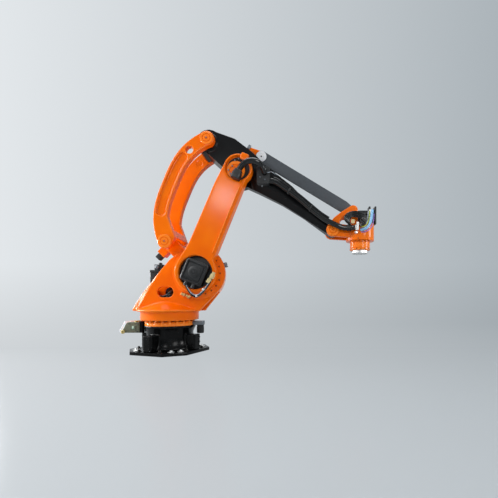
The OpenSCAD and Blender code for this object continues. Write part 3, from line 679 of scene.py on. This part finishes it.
def curve_along(points, radius, name, count=32):
    """One smooth curve with a round section and closed ends along points in mm."""
    shape = bpy.data.curves.new(name, "CURVE")
    shape.dimensions = "3D"
    shape.bevel_depth, shape.bevel_resolution, shape.resolution_u = radius / 1000, 4, 4
    shape.use_fill_caps = True
    knots = [p / 1000 for p in way(points, count)]
    spline = shape.splines.new("BEZIER")
    spline.bezier_points.add(count - 1)
    for k, knot in enumerate(spline.bezier_points):
        lean = (knots[min(k + 1, count - 1)] - knots[max(k - 1, 0)]) / 6
        knot.handle_left_type = knot.handle_right_type = "FREE"
        knot.co, knot.handle_left, knot.handle_right = knots[k], knots[k] - lean, knots[k] + lean
    piece = bpy.data.objects.new(name, shape)
    scene.collection.objects.link(piece)
    return piece


def line(points, radius, name, body, slot, material):
    """A cable that is held along its whole length."""
    return ride(curve_along(points, radius, name), name, body, slot, material)


def free_line(points, radius, name, body, slot, material, stiffness="medium"):
    """A cable that hangs free between its two ends."""
    piece = line(points, radius, name, body, slot, material)
    return piece


# Base

PLATE_TOP = 1000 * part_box("base_plate")[1][2]
CASTING_TOP = 1000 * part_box("base_casting")[1][2]
PLATE_TURN = -18
ANCHOR_CIRCLE, LEVELLER_CIRCLE, LUG_FACE = 255, 252, 264
ride(eased("base_plate", 2.5), "base_plate_eased", "base", "black_casting", black_enamel, "base_plate")
ride(cast([copy_of("base_casting")], 4, 5), "base_body_casting", "base", "black_casting", black_enamel,
     "base_casting")
anchors = copies(cap_screw(14, washer=20),
                 [place for side in (-22.5, 22.5) for place in around(
                     at(0, 0, PLATE_TOP), ANCHOR_CIRCLE, 4, (0, 0, 0), PLATE_TURN + 45 + side)])
ride(anchors, "anchor_screws", "base", *SCREW)
leveller = turned([(26, 0), (26, 4), (22, 5), (14, 5), (13, 12), (11, 13), (6, 13), (5, 9), (1, 9)], 24)
levellers = copies(leveller, [place for side in (-8, 8) for place in around(
    at(0, 0, PLATE_TOP), LEVELLER_CIRCLE, 4, (0, 0, 0), PLATE_TURN + 49 + side)])
ride(levellers, "levelling_screws", "base", "bright_steel", turned_steel)
lug_screws = copies(cap_screw(7), [at(0, 0, 0, (0, 0, PLATE_TURN + 90 * k)) @ at(LUG_FACE, 24, z, (0, 90, 0))
                                   for k in range(4) for z in (52, 88, 124)])
ride(lug_screws, "lug_screws", "base", *SCREW)

# The gear ring is notched all round under the column, with a screw in each notch
RING_RADIUS, RING_TOP, NOTCHES, FIRST_NOTCH = 195, CASTING_TOP + 43, 22, 4
ring = turned([(RING_RADIUS, CASTING_TOP), (RING_RADIUS, RING_TOP - 2), (RING_RADIUS - 2, RING_TOP),
               (10, RING_TOP)], 96)
notches = copies(block(24, 34, 12, 2), around(at(0, 0, RING_TOP - 3), RING_RADIUS - 5, NOTCHES, (0, 0, 0),
                                              FIRST_NOTCH))
clear()
apply(ring, "BOOLEAN", operation="DIFFERENCE", object=notches, solver="EXACT")
bpy.data.objects.remove(notches)
ride(ring, "gear_ring_notched", "base", *IRON, "gear_ring")
notch_screws = copies(cap_screw(7), around(at(0, 0, RING_TOP - 5), RING_RADIUS - 17, NOTCHES, (0, 90, 0),
                                           FIRST_NOTCH))
ride(notch_screws, "gear_ring_screws", "base", *SCREW)

ride(eased("turn_stop_block", 4), "turn_stop_eased", "base", *PLATED, "turn_stop_block")
buffer = turned([(24, -68), (27, -66), (29, -60), (29, -14), (26, -11), (26, -8), (29, -5), (29, 0)], 32)
ride(placed(buffer, at(251, 0, CASTING_TOP)), "turn_stop_rubber", "base", *RUBBER, "turn_stop_buffer")

# Connection box: a folded sheet box whose slanted end carries a bright plug plate
ride(eased("connection_box", 3), "connection_box_folded", "base", "box_paint", olive_paint, "connection_box")
ride(eased("connection_bracket", 4), "connection_bracket_eased", "base", "dark_steel", black_enamel,
     "connection_bracket")
SLANT, BOX_FACE = 28.2, -95
slant_plate = squared(90, 172, 8, [(2, 0), (0, 2), (0, 20), (3, 23)])
plug_plate_at = at(-337.5, 0, CASTING_TOP - 16, (0, -90 + SLANT, 0))
ride(placed(slant_plate, plug_plate_at), "plug_plate", "base", "bright_steel", white_acetal)
plugs = copies(turned([(13, 0), (13, 7), (15, 7), (15, 12), (12, 14), (10, 14), (9, 9), (1, 9)], 20),
               [plug_plate_at @ at(x, y, 23) for x in (-20, 20) for y in (-40, 0, 40)])
ride(plugs, "plug_plate_sockets", "base", "connector_metal", black_nylon)
corner_plug = turned([(14, 0), (14, 6), (16, 7), (16, 14), (12, 16), (9, 16), (8, 10), (1, 10)], 20)
ride(placed(corner_plug, at(-340, BOX_FACE + 1, CASTING_TOP - 49, TO_NEAR)), "box_corner_plug", "base",
     *ZINC_PLUG)
post = placed(block(20, 16, 96, 4), at(-205, -72, CASTING_TOP - 12))
ride(post, "bracket_post", "base", "dark_steel", black_enamel)
box_plugs = copies(turned([(14, 0), (14, 5), (12, 6), (12, 10), (9, 12), (8, 9), (1, 9)], 20),
                   [at(-255, y, CASTING_TOP + 26) for y in (-60, -20, 20, 60)])
ride(box_plugs, "box_top_sockets", "base", *ZINC_PLUG, "box_connectors")
front_plug = placed(squared(22, 26, 4, [(0, 0), (0, 8), (3, 9), (3, 14), (5, 15)]),
                    at(-258, BOX_FACE, CASTING_TOP - 14, TO_NEAR))
ride(front_plug, "box_front_plug", "base", "connector_metal", mint_plug)
box_screws = copies(cap_screw(6), [at(-228, BOX_FACE, CASTING_TOP - 46, TO_NEAR)]
                    + [at(x, BOX_FACE, CASTING_TOP + 16, TO_NEAR) for x in (-296, -226)])
ride(box_screws, "box_screws", "base", *PLATED)

# Column

column = copy_of("column")
reshape(column, lambda p: p.y > 0.03 and p.x > LINK.x, (0.82, 1, 1), LINK)
# The rear edge of each cheek bows out, and a facet runs along it: height, then the edge of the
# cheek's face and the edge behind it, in metres
rear_edges = [(0.463, -0.163, -0.216), (0.574, -0.1, -0.127), (0.684, -0.026, -0.038), (0.752, 0.032, 0.018)]
EDGE_FOOT, EDGE_TOP = Vector((-0.276, 0, 0.355)), Vector((0.109, 0, 0.78))
# Depths of the cheeks' faces and of what lies behind them, and how near counts as on the edge
CHEEK_FACE, CHEEK_INSIDE, CHEEK_BACK = (0.0945, 0.1), (0.0651, 0.0945), 0.07
HEIGHT_SLACK, EDGE_SLACK = 0.001, 0.006


def at_rear(height, edge, thin, thick, side=0):
    """Tells whether a corner lies on a rear edge at a height, at a depth of both cheeks or of one."""
    return lambda p: (abs(p.z - height) < HEIGHT_SLACK and abs(p.x - edge) < EDGE_SLACK
                      and thin < (p.y * side if side else abs(p.y)) < thick)


def at_foot(thin, thick):
    """Tells whether a corner lies at the foot of the rear edge, at a depth of both cheeks."""
    return lambda p: p.x < -0.27 and thin < abs(p.y) < thick


def at_top(back, front):
    """Tells whether a corner lies on the cheeks' round top, in a stretch along the machine."""
    return lambda p: back < p.x < front and p.z > 0.77 and abs(p.y) < 0.1


for height, face_edge, back_edge in rear_edges:
    reshape(column, lambda p: False, cut=((0, 0, height), (0, 0, 1)))
for height, face_edge, back_edge in rear_edges:
    old_edge = EDGE_FOOT.lerp(EDGE_TOP, (height - EDGE_FOOT.z) / (EDGE_TOP.z - EDGE_FOOT.z)).x
    reshape(column, at_rear(height, old_edge, *CHEEK_FACE), move=(face_edge - old_edge, 0, 0))
    for side in (-1, 1):
        reshape(column, at_rear(height, old_edge, *CHEEK_INSIDE, side), (1, 0, 1), (0, side * CHEEK_BACK, 0),
                move=(back_edge - old_edge, 0, 0))
reshape(column, at_foot(0.09, 0.1), move=(0.054, 0, 0))
reshape(column, at_foot(0.065, 0.075), move=(-0.01, 0, 0))
reshape(column, at_top(0.09, 0.13), move=(-0.04, 0, 0))
reshape(column, at_top(0.13, 0.16), move=(-0.016, 0, 0))
ride(cast([column], 4.5, 6), "column_casting", "column", *IRON, "column")
# A black disc deep inside the column, behind the hatch: painted shade in the column's hollow
column_shade_disc = placed(turned([(62, 0), (62, 14), (58, 16), (1, 16)], 40), at(-26, 90, 484, TO_NEAR))
ride(column_shade_disc, "column_inner_wall", "column", "rubber", hose_sheath)
rear_cover = placed(block(210, 138, 8, 3), at(-196, 0, 424, (0, -48.6, 0)))
ride(rear_cover, "column_rear_cover", "column", *IRON)
ride(eased("link_flange", 3), "link_flange_eased", "column", *IRON, "link_flange")
flange_face = on(LINK, -105)
flange_screws = copies(turned([(6.5, -1), (6.5, 1.5), (5.5, 2), (3.4, 2), (3.2, -0.5), (0.3, -0.5)], 12),
                       around(flange_face, 172, 20, (0, 0, 0), 18))
ride(flange_screws, "link_flange_screws", "column", *SCREW)
ride(eased("link_stop_block", 4), "link_stop_eased", "column", *PLATED, "link_stop_block")
ring_groove = turned([(229.5, 330), (229.5, 333)], 96)
ride(ring_groove, "column_ring_seal", "column", *RUBBER)

# Two plugs of the link motor's leads on the near cheek
cheek_plug = turned([(13, 0), (14, 1), (14, 12), (11, 13), (11, 16), (17, 17), (17, 32), (15, 34), (10, 34),
                     (9, 28), (1, 28)], 24)
CHEEK_LEAN = 24
cheek_plug_pixels = [(181.6, 293.4), (186.2, 295.4)]
cheek_plugs = copies(cheek_plug, [at(*seen(p, -122), (0, 90 + CHEEK_LEAN, 0)) for p in cheek_plug_pixels])
ride(cheek_plugs, "cheek_plugs", "column", *ZINC_PLUG)
plug_foot = placed(block(70, 30, 22, 4), at(160, -99, 462, (0, CHEEK_LEAN, 0)))
ride(plug_foot, "cheek_plug_foot", "column", *IRON)

# Leads that rise inside the column and show through its hatch
for k in range(3):
    lead_z = 450 - 20 * k
    free_line([(-125, -25, 350), (-112, -42, lead_z - 30), (-80, -44, lead_z), (-40, -44, lead_z + 2),
               (-4, -44, lead_z + 18), (22, -40, lead_z + 40), (46, -10, lead_z + 44), (60, 30, lead_z + 10),
               (50, 44, 350)], 12, f"column_lead_{k + 1}", "column", *HOSE)

# Turning motor: a finned body with a lower shoulder, a brake housing and its plug
motor_low, motor_high = box_mm("turn_motor")
motor_x, motor_y = (motor_low[0] + motor_high[0]) / 2, (motor_low[1] + motor_high[1]) / 2
motor_w, motor_d, motor_h = [motor_high[i] - motor_low[i] for i in range(3)]
body_h = motor_h - 50
motor_body = squared(motor_w, motor_d, 14, [(0, 0), (0, 22), (6, 24), (6, 180), (3, 183), (3, 200), (6, 203),
                                            (6, body_h - 24), (2, body_h - 21), (2, body_h - 3), (5, body_h)])
brake = placed(squared(motor_w - 46, motor_d - 14, 12, [(0, 0), (0, 46), (4, 50)]), at(20, 0, body_h))
knob = placed(turned([(17, 0), (17, 14), (14, 17), (6, 17), (5, 20), (0.5, 20)], 24), at(24, -20, motor_h))
fins = [placed(block(4, motor_d - 6, 150, 1.5), at(-motor_w / 2 + 16 + 14 * k, 0, 102)) for k in range(8)]
fins += [placed(block(motor_w - 6, 4, 150, 1.5), at(0, -motor_d / 2 + 16 + 14 * k, 102)) for k in range(8)]
turn_motor = placed(join([motor_body, brake, knob] + fins), at(motor_x, motor_y, motor_low[2]))
ride(turn_motor, "turn_motor_finned", "column", *MOTOR, "turn_motor")
motor_plug = placed(turned([(14, 0), (14, 20), (16, 21), (16, 34), (12, 36), (1, 36)], 20),
                    at(motor_x + 20, motor_low[1] + 7, motor_high[2] - 26, TO_NEAR))
ride(motor_plug, "turn_motor_plug", "column", "connector_metal", plated_steel)

# Link arm

ride(cast([copy_of("link_arm")], 4, 32), "link_arm_casting", "link_arm", *ALLOY, "link_arm")
LINK_LENGTH = 1000 * (ELBOW - LINK).length
LINK_FACE = -200.5
bead = placed(block(LINK_LENGTH - 330, 3.4, 8, 1.5), link_frame @ at(LINK_LENGTH / 2 + 26, LINK_FACE, -70))
ride(bead, "link_arm_bead", "link_arm", *ALLOY)

# Elbow: a screwed plate low in the recess, with a black ring behind it as painted shade in the recess
elbow_face = link_frame @ at(LINK_LENGTH, LINK_FACE + 30, 0, TO_NEAR)
# A black ring on the recess floor: painted shade of the deep gap behind the plate
recess_shade_ring = turned([(93, 0), (93, 2), (60, 3)], 48)
ride(placed(recess_shade_ring, elbow_face), "elbow_seal", "link_arm", *RUBBER)
plate = turned([(72, 0), (72, 12), (69, 15), (48, 15), (46, 12), (20, 12), (18, 14), (1, 14)], 48)
ride(placed(plate, elbow_face @ at(-20, 11, 0)), "elbow_cover_plate", "link_arm", *ALLOY, "elbow_cover")
COVER_FACE = LINK_FACE + 15.5
screw_pixels = [(234.9, 160.4), (238.7, 158.9), (242.6, 159.4), (232.4, 166.1), (228.5, 170.1), (230.5, 173.8)]
cover_screws = copies(cap_screw(8), [at(*seen(p, COVER_FACE), TO_NEAR) for p in screw_pixels])
ride(cover_screws, "elbow_cover_screws", "link_arm", *PLATED)
ear = placed(squared(52, 60, 8, [(0, 0), (0, 84), (3, 87)]),
             link_frame @ at(LINK_LENGTH + 100, -113.5, -14, TO_NEAR))
ear = cast([ear], 4, 8)
ride(ear, "elbow_ear", "link_arm", *ALLOY)

# The rubber boot lies on the link arm's face, along the way that the hose leaves it
boot_start, boot_end = Vector((36, 0, -92)), Vector((28, 0, -18))
boot_way = boot_end - boot_start
boot = squared(54, 54, 14, [(6, -2), (1, 0), (0, 4), (0, 40), (2, 44), (2, 54), (5, 60), (5, 72)])
boot_turn = 90 - atan2(boot_way.z, boot_way.x) * 180 / pi
ride(placed(boot, arm_frame @ at(boot_start.x, -227, boot_start.z, (0, boot_turn, 0))), "hose_boot", "link_arm",
     *NYLON, "hose_gland")

# Link motor: a square flange with a raised rim, a round cover and four screws
motor_face = link_frame @ at(0, -230.5, 0, TO_NEAR)
link_motor = placed(squared(172, 172, 20, [(2, -65), (0, -63), (0, -6), (4, -2), (8, 0), (17, 0), (20, -7),
                                           (27, -7), (29, -3), (34, -2), (70, -1)]), motor_face)
rim_cover = placed(turned([(46, -4), (46, 0), (43, 2), (16, 3), (14, 0.5), (9, 0.5), (7, 2), (1, 2)], 40),
                   motor_face)
ride(join([link_motor, rim_cover]), "link_motor_flanged", "link_arm", *MOTOR, "link_motor")
motor_screws = copies(cap_screw(10), [motor_face @ at(x, y, -9) for x in (-70, 70) for y in (-70, 70)])
ride(motor_screws, "link_motor_screws", "link_arm", *SCREW)
ride(eased("link_gear", 3), "link_gear_eased", "link_arm", "dark_steel", motor_paint, "link_gear")

# Motor leads: a loop under the motor with white tags, and its plugs
ride(eased("motor_connectors", 2), "link_motor_outlets", "link_arm", *NYLON, "motor_connectors")
LOOP_Y = -214
loop_pixels = [(184.5, 279.5), (186.5, 287), (191.7, 294.5), (197.7, 295.9), (204, 290.5), (209.2, 283.2),
               (212.5, 276)]
for k, (lift, radius) in enumerate([(0, 5), (9, 4), (-8, 3)]):
    free_line([seen(p, LOOP_Y - 4 * k) + Vector((0, 0, lift)) for p in loop_pixels], radius,
              f"motor_lead_{k + 1}", "link_arm", "hose", (hose_sheath, grey_wire, hose_sheath)[k])
tag = turned([(9, -7), (10, -6), (10, 6), (9, 7)], 20)
tag_pixels = [((203.2, 289.4), 48), ((196.5, 295.9), 90)]
tags = copies(tag, [at(*seen(p, LOOP_Y - 4), (0, turn, 0)) for p, turn in tag_pixels])
ride(tags, "motor_lead_tags", "link_arm", *WHITE_NYLON)
plug_body = squared(20, 26, 4, [(3, -26), (0, -24), (0, 10), (3, 12), (3, 26), (5, 28)])
plug_pixels = [((209.5, 280), 32), ((212.6, 275.5), 24)]
lead_plugs = copies(plug_body, [at(*seen(p, LOOP_Y - 2), (0, turn, 0)) for p, turn in plug_pixels])
ride(lead_plugs, "motor_lead_plugs", "link_arm", "connector_metal", beige_plug)

# Rear fork, crank and the pins


def pin_cap(radius, thick=9):
    """A turned pin end on z = 0 with a ring groove and a grease nipple's seat."""
    return turned([(radius, -2), (radius, thick - 3), (radius - 3, thick), (0.64 * radius, thick),
                   (0.61 * radius, thick - 3), (0.55 * radius, thick - 3), (0.52 * radius, thick),
                   (0.2 * radius, thick), (0.17 * radius, thick - 3), (1, thick - 3)], 48)


nipple = [(4, 0), (4, 4), (2.5, 5), (2.5, 9), (3.6, 10), (3.2, 13), (1, 14)]
far_plug = placed(turned([(29, 0), (29, 51)], 40), at(209.6, 107, 1607.5, TO_FAR))
ride(cast([copy_of("rear_fork"), far_plug], 3.5, 5), "rear_fork_casting", "rear_fork", *ALLOY, "rear_fork")
ride(cast([copy_of("crank")], 4, 6), "crank_casting", "crank", *ALLOY, "crank")
FORK_HALF = 160
fork_pins = {"fork_top_caps": (FORK_TOP, 51), "fork_low_caps": (CRANK_PIN, 53)}
for name, (pin, radius) in fork_pins.items():
    ends = both_ends(pin, FORK_HALF)
    ride(copies(pin_cap(radius, 7), ends), name, "rear_fork", *ALLOY)
    ride(copies(turned(nipple, 16), [end @ at(0, 0, 3) for end in ends]), name + "_nipples", "rear_fork",
         *PLATED)
ride(eased("crank_buffer", 4), "crank_stop_rubber", "crank", *RUBBER, "crank_buffer")

# Far side: gear and motor of the crank, and the levelling rod
gear_face = on(LINK, 95, TO_FAR)
far_gear = turned([(130, 0), (130, 70), (126, 74), (118, 74), (116, 80), (116, 114), (113, 117.5), (60, 117.5)],
                  64)
ride(placed(far_gear, gear_face), "far_gear_turned", "column", "dark_steel", motor_paint, "far_gear")
ride(copies(cap_screw(10), around(gear_face @ at(0, 0, 117.5), 101, 16, (0, 0, 0))), "far_gear_screws",
     "column", *PLATED)
far_body = squared(172, 172, 20, [(0, 117.5), (0, 136), (8, 138), (8, 268), (4, 271), (4, 302), (8, 307.5)])
fins = [placed(block(4, 168, 120, 1.5), at(-72 + 16 * k, 0, 204)) for k in range(10)]
fins += [placed(block(168, 4, 120, 1.5), at(0, -72 + 16 * k, 204)) for k in range(10)]
ride(placed(join([far_body] + fins), gear_face), "far_motor_finned", "column", *MOTOR, "far_motor")
ride(copies(turned([(15, 0), (15, 14), (17, 15), (17, 24), (12, 26), (1, 26)], 20),
            [gear_face @ at(x, -78, 287, (90, 0, 0)) for x in (-30, 30)]), "far_motor_plugs", "column",
     *ZINC_PLUG)
for node, width, body, slot, material in [
        ("levelling_rod", 3, "levelling_rod", *ALLOY),
        ("levelling_post", 3, "column", *IRON),
        ("upper_rod", 2, "upper_rod", "carbon_rod", carbon_plate)]:
    ride(eased(node, width), node + "_eased", body, slot, material, node)
tie_caps = copies(pin_cap(22, 4), [on(p, 207.5, TO_FAR) for p in (TIE_LOW, TIE_TOP)])
ride(tie_caps, "levelling_rod_caps", "levelling_rod", *PLATED)
ride(cast([copy_of("elbow_lever")], 3, 4), "elbow_lever_casting", "elbow_lever", *ALLOY, "elbow_lever")
rod_face = on(ROD_REAR, -33)
rod_cap = placed(turned([(30, -36), (30, -8), (43, -8), (43, -2), (41, 0), (24, 0), (22, -2), (8, -2), (6, -5),
                         (1, -5)], 48), rod_face)
ride(rod_cap, "upper_rod_pin_cap", "upper_rod_pin", "bright_steel", white_acetal, "upper_rod_pin")
ride(placed(turned([(5, -5), (5, -1.5), (4, -1), (1, -1)], 12), rod_face),
     "upper_rod_pin_screw", "upper_rod_pin", *SCREW)

# Forearm: a laminated box beam whose underside draws in
beam = copy_of("arm_beam")
arm_inverse = arm_frame.inverted()
arm_up = arm_frame.to_3x3() @ Vector((0, 0, 1))


def in_beam(u_from, u_to, n_from, n_to):
    """Tells whether a corner lies in a stretch of the forearm's own frame, in mm."""
    return lambda p: u_from < 1000 * (arm_inverse @ p).x < u_to and n_from < 1000 * (arm_inverse @ p).z < n_to


reshape(beam, in_beam(130, 150, 150, 230), move=-0.029 * arm_up)
reshape(beam, in_beam(-12, 12, 180, 240), move=-0.015 * arm_up)
reshape(beam, in_beam(-330, -60, -80, 5), move=0.02 * arm_up)
reshape(beam, in_beam(-192, -168, 190, 240), move=-0.005 * arm_up)
split_at = arm_frame @ Vector((0, 0, 0.02))
reshape(beam, in_beam(40, 820, -90, 18), (1, 0.4, 1), ELBOW, (split_at, arm_up))
ride(cast([beam], 4.5, 6), "arm_beam_laminate", "arm", "carbon_beam", carbon_twill, "arm_beam")
rear_bush = copies(turned([(62, -4), (62, 0), (59, 3), (1, 3)], 40), both_ends(FORK_TOP, 84))
ride(rear_bush, "arm_rear_bush", "arm", *SCREW)
sensor = placed(squared(24, 18, 3, [(0, -8), (0, 16), (3, 18), (3, 24), (5, 25)]),
                arm_frame @ at(-52, -70, 216, (0, -4, 0)))
ride(sensor, "arm_top_sensor", "arm", *PLATED)

# Hose clamp: a saddle with its cap, screwed to the beam
clamp = cast([copy_of("hose_clamp")], 2.5, 5)
ride(clamp, "hose_clamp_saddle", "arm", *NYLON, "hose_clamp")
CLAMP_FACE = box_mm("hose_clamp")[0][1]
clamp_pixels = [(260.1, 177.1), (264.8, 179.8), (262.1, 186.3)]
ride(copies(cap_screw(8), [at(*seen(p, CLAMP_FACE), TO_NEAR) for p in clamp_pixels]), "hose_clamp_screws",
     "arm", *PLATED)


def in_arm(*route):
    """Points of the forearm's frame, in mm, in the frame of the part."""
    return [1000 * (arm_frame @ (Vector(p) / 1000)) for p in route]


def hose(points, radius, name):
    """A mesh tube along points in mm, and the points of its centre line in metres."""
    curve = curve_along(points, radius, name)
    centre = [knot.co.copy() for knot in curve.data.splines[0].bezier_points]
    take(curve)
    ops.object.convert(target="MESH")
    return bpy.context.object, centre


BOOT_Y, ARM_HOSE_Y = -226.5, -116
elbow_route = in_arm((34, BOOT_Y, -52), (28, BOOT_Y, -19), (30, BOOT_Y, 24), (43, BOOT_Y, 61), (65, BOOT_Y, 86),
                     (93, -222.5, 104), (122, -208.5, 113), (150, -186.5, 112), (172, -175, 100),
                     (183, -158, 88), (183, -145.3, 88))
HOSE_RADIUS = 22
tube, centre = hose(elbow_route, HOSE_RADIUS, "elbow_hose_tube")
dress(tube, "elbow_hose_tube", *HOSE, "elbow_hose")
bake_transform(tube)

clamp_exit = [(242.3, -75), (262.3, -75), (304.3, -93)]
along_beam = [(420, 72), (522, 62), (640, 44), (730, 31), (810, 28), (889, 36)]
arm_route = [Vector((1000 * ELBOW.x + dx, ARM_HOSE_Y, 1000 * ELBOW.z + dz)) for dx, dz in clamp_exit]
arm_route += in_arm(*[(u, ARM_HOSE_Y, n) for u, n in along_beam])
HOSE_END = Vector((1478, -106, 1004))
wrist_route = [arm_route[-1], arm_route[-1] + Vector((26, 3, -11)), arm_route[-1] + Vector((52, 7, -17)),
               HOSE_END - Vector((17, 0, 0)), HOSE_END]
whole = way(arm_route + wrist_route[1:], 64)
cut = min(range(len(whole)), key=lambda k: (whole[k] - arm_route[-1]).length)
tube, centre = hose(whole[:cut + 1], HOSE_RADIUS, "arm_hose_tube")
end_tube, end_centre = hose(whole[cut:], HOSE_RADIUS, "wrist_hose_tube")
dress(tube, "arm_hose_tube", *HOSE, "arm_hose")
dress(end_tube, "wrist_hose_tube", *HOSE)
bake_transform(tube)
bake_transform(end_tube)
side_route = [p + Vector((9, -6, 24)) for p in arm_route[1:-1]]
free_line(side_route, 8, "arm_air_line", "arm", *HOSE)
tie = turned([(25, -5), (26, -4), (26, 4), (25, 5)], 32)
arm_turn = atan2((WRIST - ELBOW).x, (WRIST - ELBOW).z) * 180 / pi
ride(copies(tie, [at(*p, (0, arm_turn - 6, 0)) for p in (arm_route[3], arm_route[5])]), "arm_hose_ties", "arm",
     *NYLON)
wire_pixels = [(264.5, 170.5), (266.5, 172), (268.5, 172.5), (271, 171.8), (274.5, 173.5), (278, 175)]
for k, (shift, material) in enumerate([(0, earth_wire), (7, grey_wire)]):
    free_line([seen(p, CLAMP_FACE - 4 - shift) for p in wire_pixels], 2.5, f"clamp_wire_{k + 1}", "arm", "hose",
              material)

# Wrist

ride(cast([copy_of("wrist_fork")], 3, 4), "wrist_fork_casting", "wrist", *ALLOY, "wrist_fork")
core = placed(turned([(40, -79), (40, 79), (39, 80)], 40), on(WRIST, 0))
ride(join([core, copies(pin_cap(50, 8), both_ends(WRIST, 80))]), "wrist_pin_caps", "wrist_pin", *ALLOY,
     "wrist_pin")
ride(eased("wrist_housing", 5), "wrist_housing_eased", "wrist", *ALLOY, "wrist_housing")
DRUM = on(FLANGE, 0, (0, 0, 0))
drum = placed(turned([(78, 25.2), (82, 28), (82, 40), (80, 41), (80, 44), (82, 45), (82, 88), (80, 89),
                      (80, 92), (82, 93), (82, 102)], 64), DRUM)
ride(drum, "wrist_drum", "wrist", *ALLOY, "wrist_gear")
ride(copies(cap_screw(5), around(DRUM @ at(0, 0, 34), 79.5, 14, (0, 90, 0), 8)), "wrist_drum_screws", "wrist",
     *SCREW)
flange = placed(turned([(18, 9), (20, 8), (21, 0), (66, 0), (69, 3), (69, 12), (66, 14), (66, 24.4)], 64), DRUM)
ride(flange, "tool_flange_turned", "tool_flange", "bright_steel", turned_steel, "tool_flange")
ride(copies(turned([(5.5, -2), (5.5, 0.4), (4, 0.4), (3.6, -1.5), (0.5, -1.5)], 16),
            around(DRUM @ at(0, 0, 0, (180, 0, 0)), 48, 8, (0, 0, 0), 22.5)), "tool_flange_bores",
     "tool_flange", *SCREW)
SLOT_SHADE_PIXEL, STRIP_PIXEL, PLUG_PIXEL = (361, 238), (369.6, 216), (352.6, 221.8)
# A thin black plate where the housing shows a dark slot: painted shade of the slot
slot_shade_plate = placed(squared(52, 22, 10, [(0, -6), (0, 1.5), (2, 2.5), (6, 2.5), (7, 1)]),
                    at(*seen(SLOT_SHADE_PIXEL, -108), TO_NEAR))
ride(slot_shade_plate, "wrist_side_cover", "wrist", *SCREW)

motor_low, motor_high = box_mm("wrist_motor")
motor_x = (motor_low[0] + motor_high[0]) / 2
wrist_motor = squared(100, 100, 10, [(0, 0), (0, 14), (5, 16), (5, 74), (1, 77), (1, 104), (5, 110)])
fins = [placed(block(3, 98, 52, 1), at(-38 + 12.7 * k, 0, 46)) for k in range(7)]
ride(placed(join([wrist_motor] + fins), at(motor_x, 0, motor_low[2])), "wrist_motor_finned", "wrist", *MOTOR,
     "wrist_motor")
holder_low, holder_high = box_mm("cable_holder")
holder_h = holder_high[2] - holder_low[2]
rail = squared(14, 60, 3, [(0, 0), (0, holder_h - 3), (2, holder_h)])
rails = copies(rail, [at(x, 0, holder_low[2]) for x in (holder_low[0] + 7, holder_high[0] - 7)])
back = placed(squared(holder_high[0] - holder_low[0] - 4, 40, 3, [(0, 0), (0, 118), (3, 121)]),
              at((holder_low[0] + holder_high[0]) / 2, 8, holder_low[2] + 4))
ride(join([rails, back]), "cable_holder_rails", "wrist", *NYLON, "cable_holder")
collar = placed(turned([(24, 0), (26, 2), (26, 9), (24.5, 10), (24.5, 13), (26, 14), (26, 22), (24.5, 23),
                        (24.5, 26), (26, 27), (26, 34), (24, 36)], 36), at(1461.4, -106, 1004.3, (0, 90, 0)))
ride(collar, "hose_collar_ribbed", "wrist", *NYLON, "hose_collar")
line([HOSE_END, (1500, -113, 1004), (1520, -124, 1003.5), (1542, -134, 1003)], 21, "hose_end_sleeve", "wrist",
     *HOSE)
ride(placed(turned([(22, -2.5), (22.5, -2), (22.5, 2), (22, 2.5)], 36), at(1531, -129, 1003.5, (0, 90, -27))),
     "sleeve_tie", "wrist", *WHITE_NYLON)
ride(placed(block(6, 6, 66, 2), at(1536, -155, 1008, (0, 3, 0))), "sleeve_tie_end", "wrist", *WHITE_NYLON)
gland = turned([(12, 0), (14, 1), (14, 10), (12, 11), (12, 17), (10, 22), (1, 22)], 6)
ride(placed(gland, at(1534, -100, 968, TO_NEAR)), "wrist_gland", "wrist", "connector_metal", turned_steel)

# Leads that leave the sleeve: black loops beside the motor, an air line and coloured wires
for k in range(6):
    loop = [(356.5, 228), (351.5, 226), (345 + 0.9 * k, 220), (346 + 1.3 * k, 214.8 + 0.3 * k),
            (352.5, 211.6 + k), (361, 212.8 + k), (366.8 - k, 218), (365.4 - 1.2 * k, 223.4), (360.5, 226.6)]
    free_line([seen(p, -112 - 3 * k) for p in loop], 5.6 - 0.3 * k, f"wrist_lead_{k + 1}", "wrist", *HOSE)
outward = (-110, -124, -126, -118, -96, -66)
wires = [
    ("blue_air_line", blue_line, 11,
     [(360.5, 230), (364, 229.3), (367.5, 227), (370.3, 222.5), (371.6, 216.5), (372.4, 210)]),
    ("violet_lead", violet_wire, 4,
     [(361, 232.3), (365, 231.6), (368.5, 230), (371.4, 226.8), (373.4, 221.5), (373.8, 214)]),
    ("earth_lead", earth_wire, 4,
     [(360.2, 225.5), (363, 226.6), (365.8, 225.4), (368, 221.8), (369.3, 217), (369.8, 211)]),
    ("white_lead", grey_wire, 4,
     [(360.2, 228), (362.8, 228.2), (365.2, 226.6), (367, 222), (368, 216), (368.4, 211)])]
for name, material, radius, pixels in wires:
    free_line([seen(p, y) for p, y in zip(pixels, outward)], radius, name, "wrist", "hose", material)
strip = placed(block(6, 10, 108, 2), at(*seen(STRIP_PIXEL, -34), (0, 4, 0)))
ride(strip, "cable_holder_strip", "wrist", *WHITE_NYLON)
ride(placed(squared(22, 26, 3, [(2, 0), (0, 2), (0, 20), (3, 22)]), at(*seen(PLUG_PIXEL, -112), TO_NEAR)),
     "wrist_plug", "wrist", "connector_metal", beige_plug)

# CAD nodes that keep their shape get their finish
finishes = {
    "orange_casting": orange_enamel, "orange_light_casting": orange_enamel, "black_casting": black_enamel,
    "black_motor": motor_paint, "carbon_beam": carbon_twill, "carbon_rod": carbon_plate,
    "dark_steel": plated_steel, "rubber": stop_rubber, "black_plastic": black_nylon, "hose": hose_sheath,
    "box_paint": olive_paint, "connector_metal": yellow_zinc, "bright_steel": turned_steel,
}
for part in frame["record"]["subparts"]:
    node = frame["nodes"][part["node"]]
    node.data.materials.clear()
    node.data.materials.append(finishes[part["material_slot"]])
